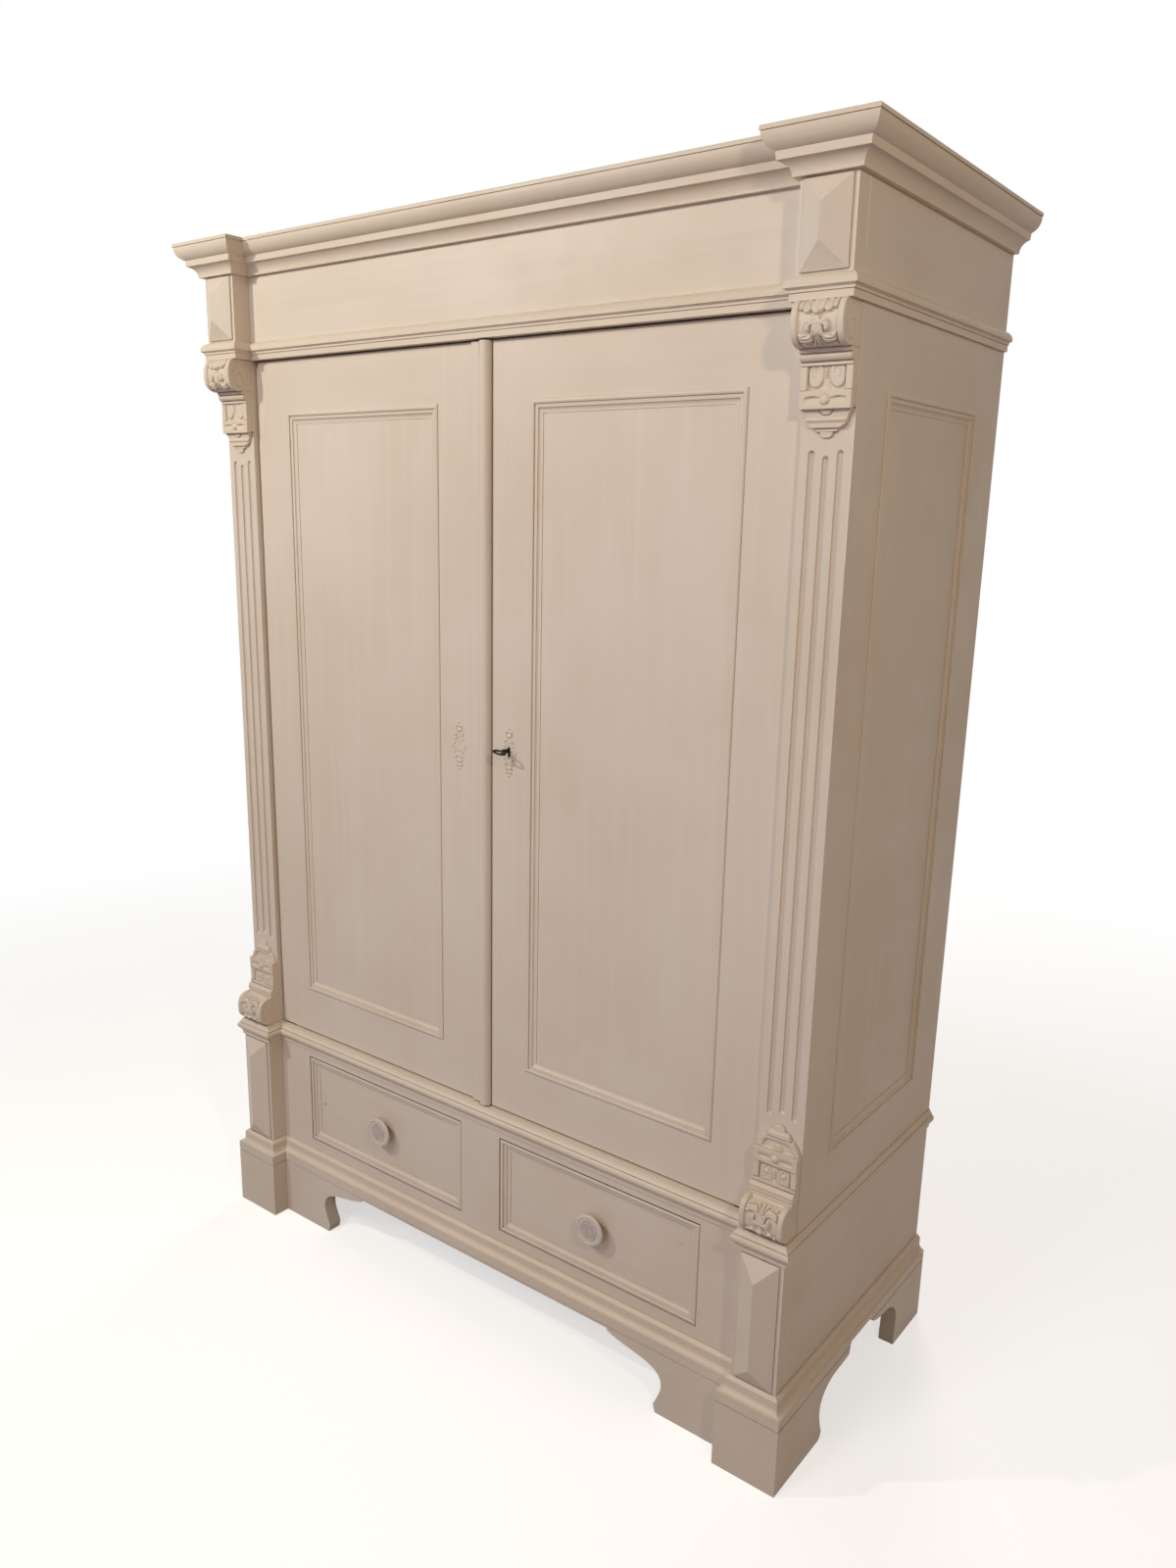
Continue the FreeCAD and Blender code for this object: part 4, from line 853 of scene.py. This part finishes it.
def make_key_forging():
    """The key's heavy bow and the swelling behind it, as forged iron."""
    middle = Vector((61.5, -225.0, 1155.5))
    tilt = math.radians(9.0)
    vertices, faces = [], []

    def tube(rings, closed):
        start = len(vertices)
        count = len(rings[0])
        for ring in rings:
            vertices.extend(ring)
        for r in range(len(rings) if closed else len(rings) - 1):
            for c in range(count):
                a, b = start + r * count, start + ((r + 1) % len(rings)) * count
                n = (c + 1) % count
                faces.append((a + c, a + n, b + n, b + c))

    bow = []
    for k in range(72):
        u = 2 * math.pi * k / 72
        wire = 2.2 + 0.25 * math.cos(2 * u)
        centre = Vector((11.3 * math.cos(u), -26.0 + 8.3 * math.sin(u), 0))
        out = Vector((math.cos(u) / 11.3, math.sin(u) / 8.3, 0)).normalized()
        bow.append([centre + wire * (math.cos(v) * out + math.sin(v) * Vector((0, 0, 0.9)))
                    for v in (2 * math.pi * j / 16 for j in range(16))])
    tube(bow, True)
    profile = [(-4.2, 0.2), (-4.2, 3.6), (-5.4, 4.4), (-7.0, 4.6), (-8.2, 3.8), (-9.4, 3.7),
               (-12.5, 4.9), (-15.5, 5.0), (-17.5, 4.2), (-18.6, 2.6), (-19.0, 0.2)]
    turns = [2 * math.pi * j / 28 for j in range(28)]
    tube([[Vector((r * math.cos(v), d, 0.85 * r * math.sin(v))) for v in turns]
          for d, r in profile], False)
    turn = Matrix.Rotation(tilt, 3, "Y")
    add_piece("key_forging", "key_forging",
              [tuple((turn @ v + middle) * MM) for v in vertices], faces,
              IRON, "key", fill_holes)


# Strong painted shade in the crevices of the carving and of the cast plates
CARVED = paint("paint_carving", run="z", crevice_shade=0.85, shade_reach=0.0032, crevice=(0.36, 0.90), warm=0.14)
CAST = paint("paint_cast_plates", run="z", crevice_shade=0.55, shade_reach=0.0022, crevice=(0.36, 0.90))
make_corbels()
make_escutcheons()
make_key_forging()

# Floor, light and camera


def seen_directly(t):
    """1 for rays from the camera, and for those seen in gloss or through glass."""
    path = t.add("LightPath").outputs
    shown = t.math("MAXIMUM", path["Is Camera Ray"], path["Is Transmission Ray"])
    return t.math("MAXIMUM", shown, path["Is Glossy Ray"])


def make_floor():
    mesh = bpy.data.meshes.new("floor")
    steps = 96
    reach = 14.0
    turns = [2 * math.pi * i / steps for i in range(steps)]
    points = [(reach * math.cos(turn), reach * math.sin(turn), 0.0) for turn in turns]
    mesh.from_pydata(points, [], [tuple(range(steps))])
    floor = bpy.data.objects.new("floor", mesh)
    bpy.context.scene.collection.objects.link(floor)
    material = bpy.data.materials.new("pale_floor")
    t = Tree(material)
    place = t.add("TexCoord").outputs["Object"]
    away = t.add("VectorMath", operation="LENGTH")
    t.feed(away, i0=place)
    fade = t.ramp(away.outputs["Value"], 1.5, 3.4)
    shade = t.add("BsdfDiffuse")
    t.feed(shade, Color=(0.62, 0.60, 0.57, 1.0))
    glow = t.add("Emission")
    t.feed(glow, Color=(1.0, 1.0, 1.0, 1.0), Strength=0.62)
    near = t.add("AddShader")
    t.feed(near, i0=shade.outputs[0], i1=glow.outputs[0])
    white = t.add("Emission")
    t.feed(white, Color=(1.0, 1.0, 1.0, 1.0), Strength=1.0)
    seen = t.add("MixShader")
    t.feed(seen, i0=fade, i1=near.outputs[0], i2=white.outputs[0])
    plain = t.add("BsdfDiffuse")
    t.feed(plain, Color=(0.30, 0.26, 0.23, 1.0))
    shown = seen_directly(t)
    whole = t.add("MixShader")
    t.feed(whole, i0=shown, i1=plain.outputs[0], i2=seen.outputs[0])
    t.finish(whole.outputs[0])
    mesh.materials.append(material)


def make_world():
    world = bpy.data.worlds.new("studio")
    bpy.context.scene.world = world
    t = Tree(world)
    shown = seen_directly(t)
    ambient = t.add("Background")
    t.feed(ambient, Color=(1.0, 0.85, 0.66, 1.0), Strength=0.14)
    white = t.add("Background")
    t.feed(white, Color=(1.0, 1.0, 1.0, 1.0), Strength=1.0)
    mixed = t.add("MixShader")
    t.feed(mixed, i0=shown, i1=ambient.outputs[0], i2=white.outputs[0])
    output = t.add("OutputWorld")
    t.tree.links.new(mixed.outputs[0], output.inputs[0])


def lamp(name, place, target, power, size, tone):
    data = bpy.data.lights.new(name, "AREA")
    data.shape = "DISK"
    data.size = size
    data.energy = power
    data.color = tone
    obj = bpy.data.objects.new(name, data)
    bpy.context.scene.collection.objects.link(obj)
    obj.location = place
    direction = Vector(target) - Vector(place)
    obj.rotation_mode = "QUATERNION"
    obj.rotation_quaternion = direction.to_track_quat("-Z", "Y")
    obj.visible_camera = False


def make_camera():
    """The photograph's viewpoint, solved from the cupboard's own lines."""
    yaw, pitch, roll = (math.radians(v) for v in (37.057, -13.958, -1.282))
    ahead = Vector((-math.sin(yaw) * math.cos(pitch), math.cos(yaw) * math.cos(pitch),
                    math.sin(pitch)))
    right = Vector((math.cos(yaw), math.sin(yaw), 0.0))
    down = ahead.cross(right)
    right_rolled = math.cos(roll) * right + math.sin(roll) * down
    down_rolled = -math.sin(roll) * right + math.cos(roll) * down
    axes = Matrix((right_rolled, -down_rolled, -ahead)).transposed()
    data = bpy.data.cameras.new("camera")
    data.sensor_fit = "VERTICAL"
    data.sensor_height = 36.0
    data.lens = 36.0 * 1204.87 / 1600
    data.shift_x = (600 - 604.10) / 1600
    data.shift_y = (830.40 - 800) / 1600
    data.clip_start = 0.05
    camera = bpy.data.objects.new("camera", data)
    bpy.context.scene.collection.objects.link(camera)
    camera.matrix_world = Matrix.Translation((1.41709, -1.77272, 1.55374)) @ axes.to_4x4()
    bpy.context.scene.camera = camera


# Name, place, target, watts, diameter in metres, tone
LAMPS = (
    ("lamp_key", (-1.20, -1.90, 2.50), (0.0, -0.2, 1.1), 21.5, 0.09, (1.0, 0.965, 0.81)),
    ("lamp_top", (-0.3, -3.3, 3.4), (0.0, -0.2, 0.7), 35.0, 1.2, (0.94, 0.99, 1.0)),
    ("lamp_right", (2.20, -1.60, 2.40), (0.3, -0.2, 1.1), 14.0, 0.14, (1.0, 0.86, 0.62)),
    ("lamp_side", (4.2, 0.3, 1.0), (0.7, 0.0, 1.0), 10.5, 2.2, (1.0, 0.68, 0.54)),
    ("lamp_front", (0.3, -3.8, 1.0), (0.0, -0.2, 1.0), 20.0, 1.8, (0.72, 0.69, 1.0)),
    ("lamp_back", (-1.2, 3.8, 2.6), (0.0, 0.3, 1.1), 60.0, 1.6, (1.0, 1.0, 1.0)),
)

make_floor()
make_world()
for entry in LAMPS:
    lamp(*entry)
make_camera()
bpy.context.scene.view_settings.view_transform = "Standard"
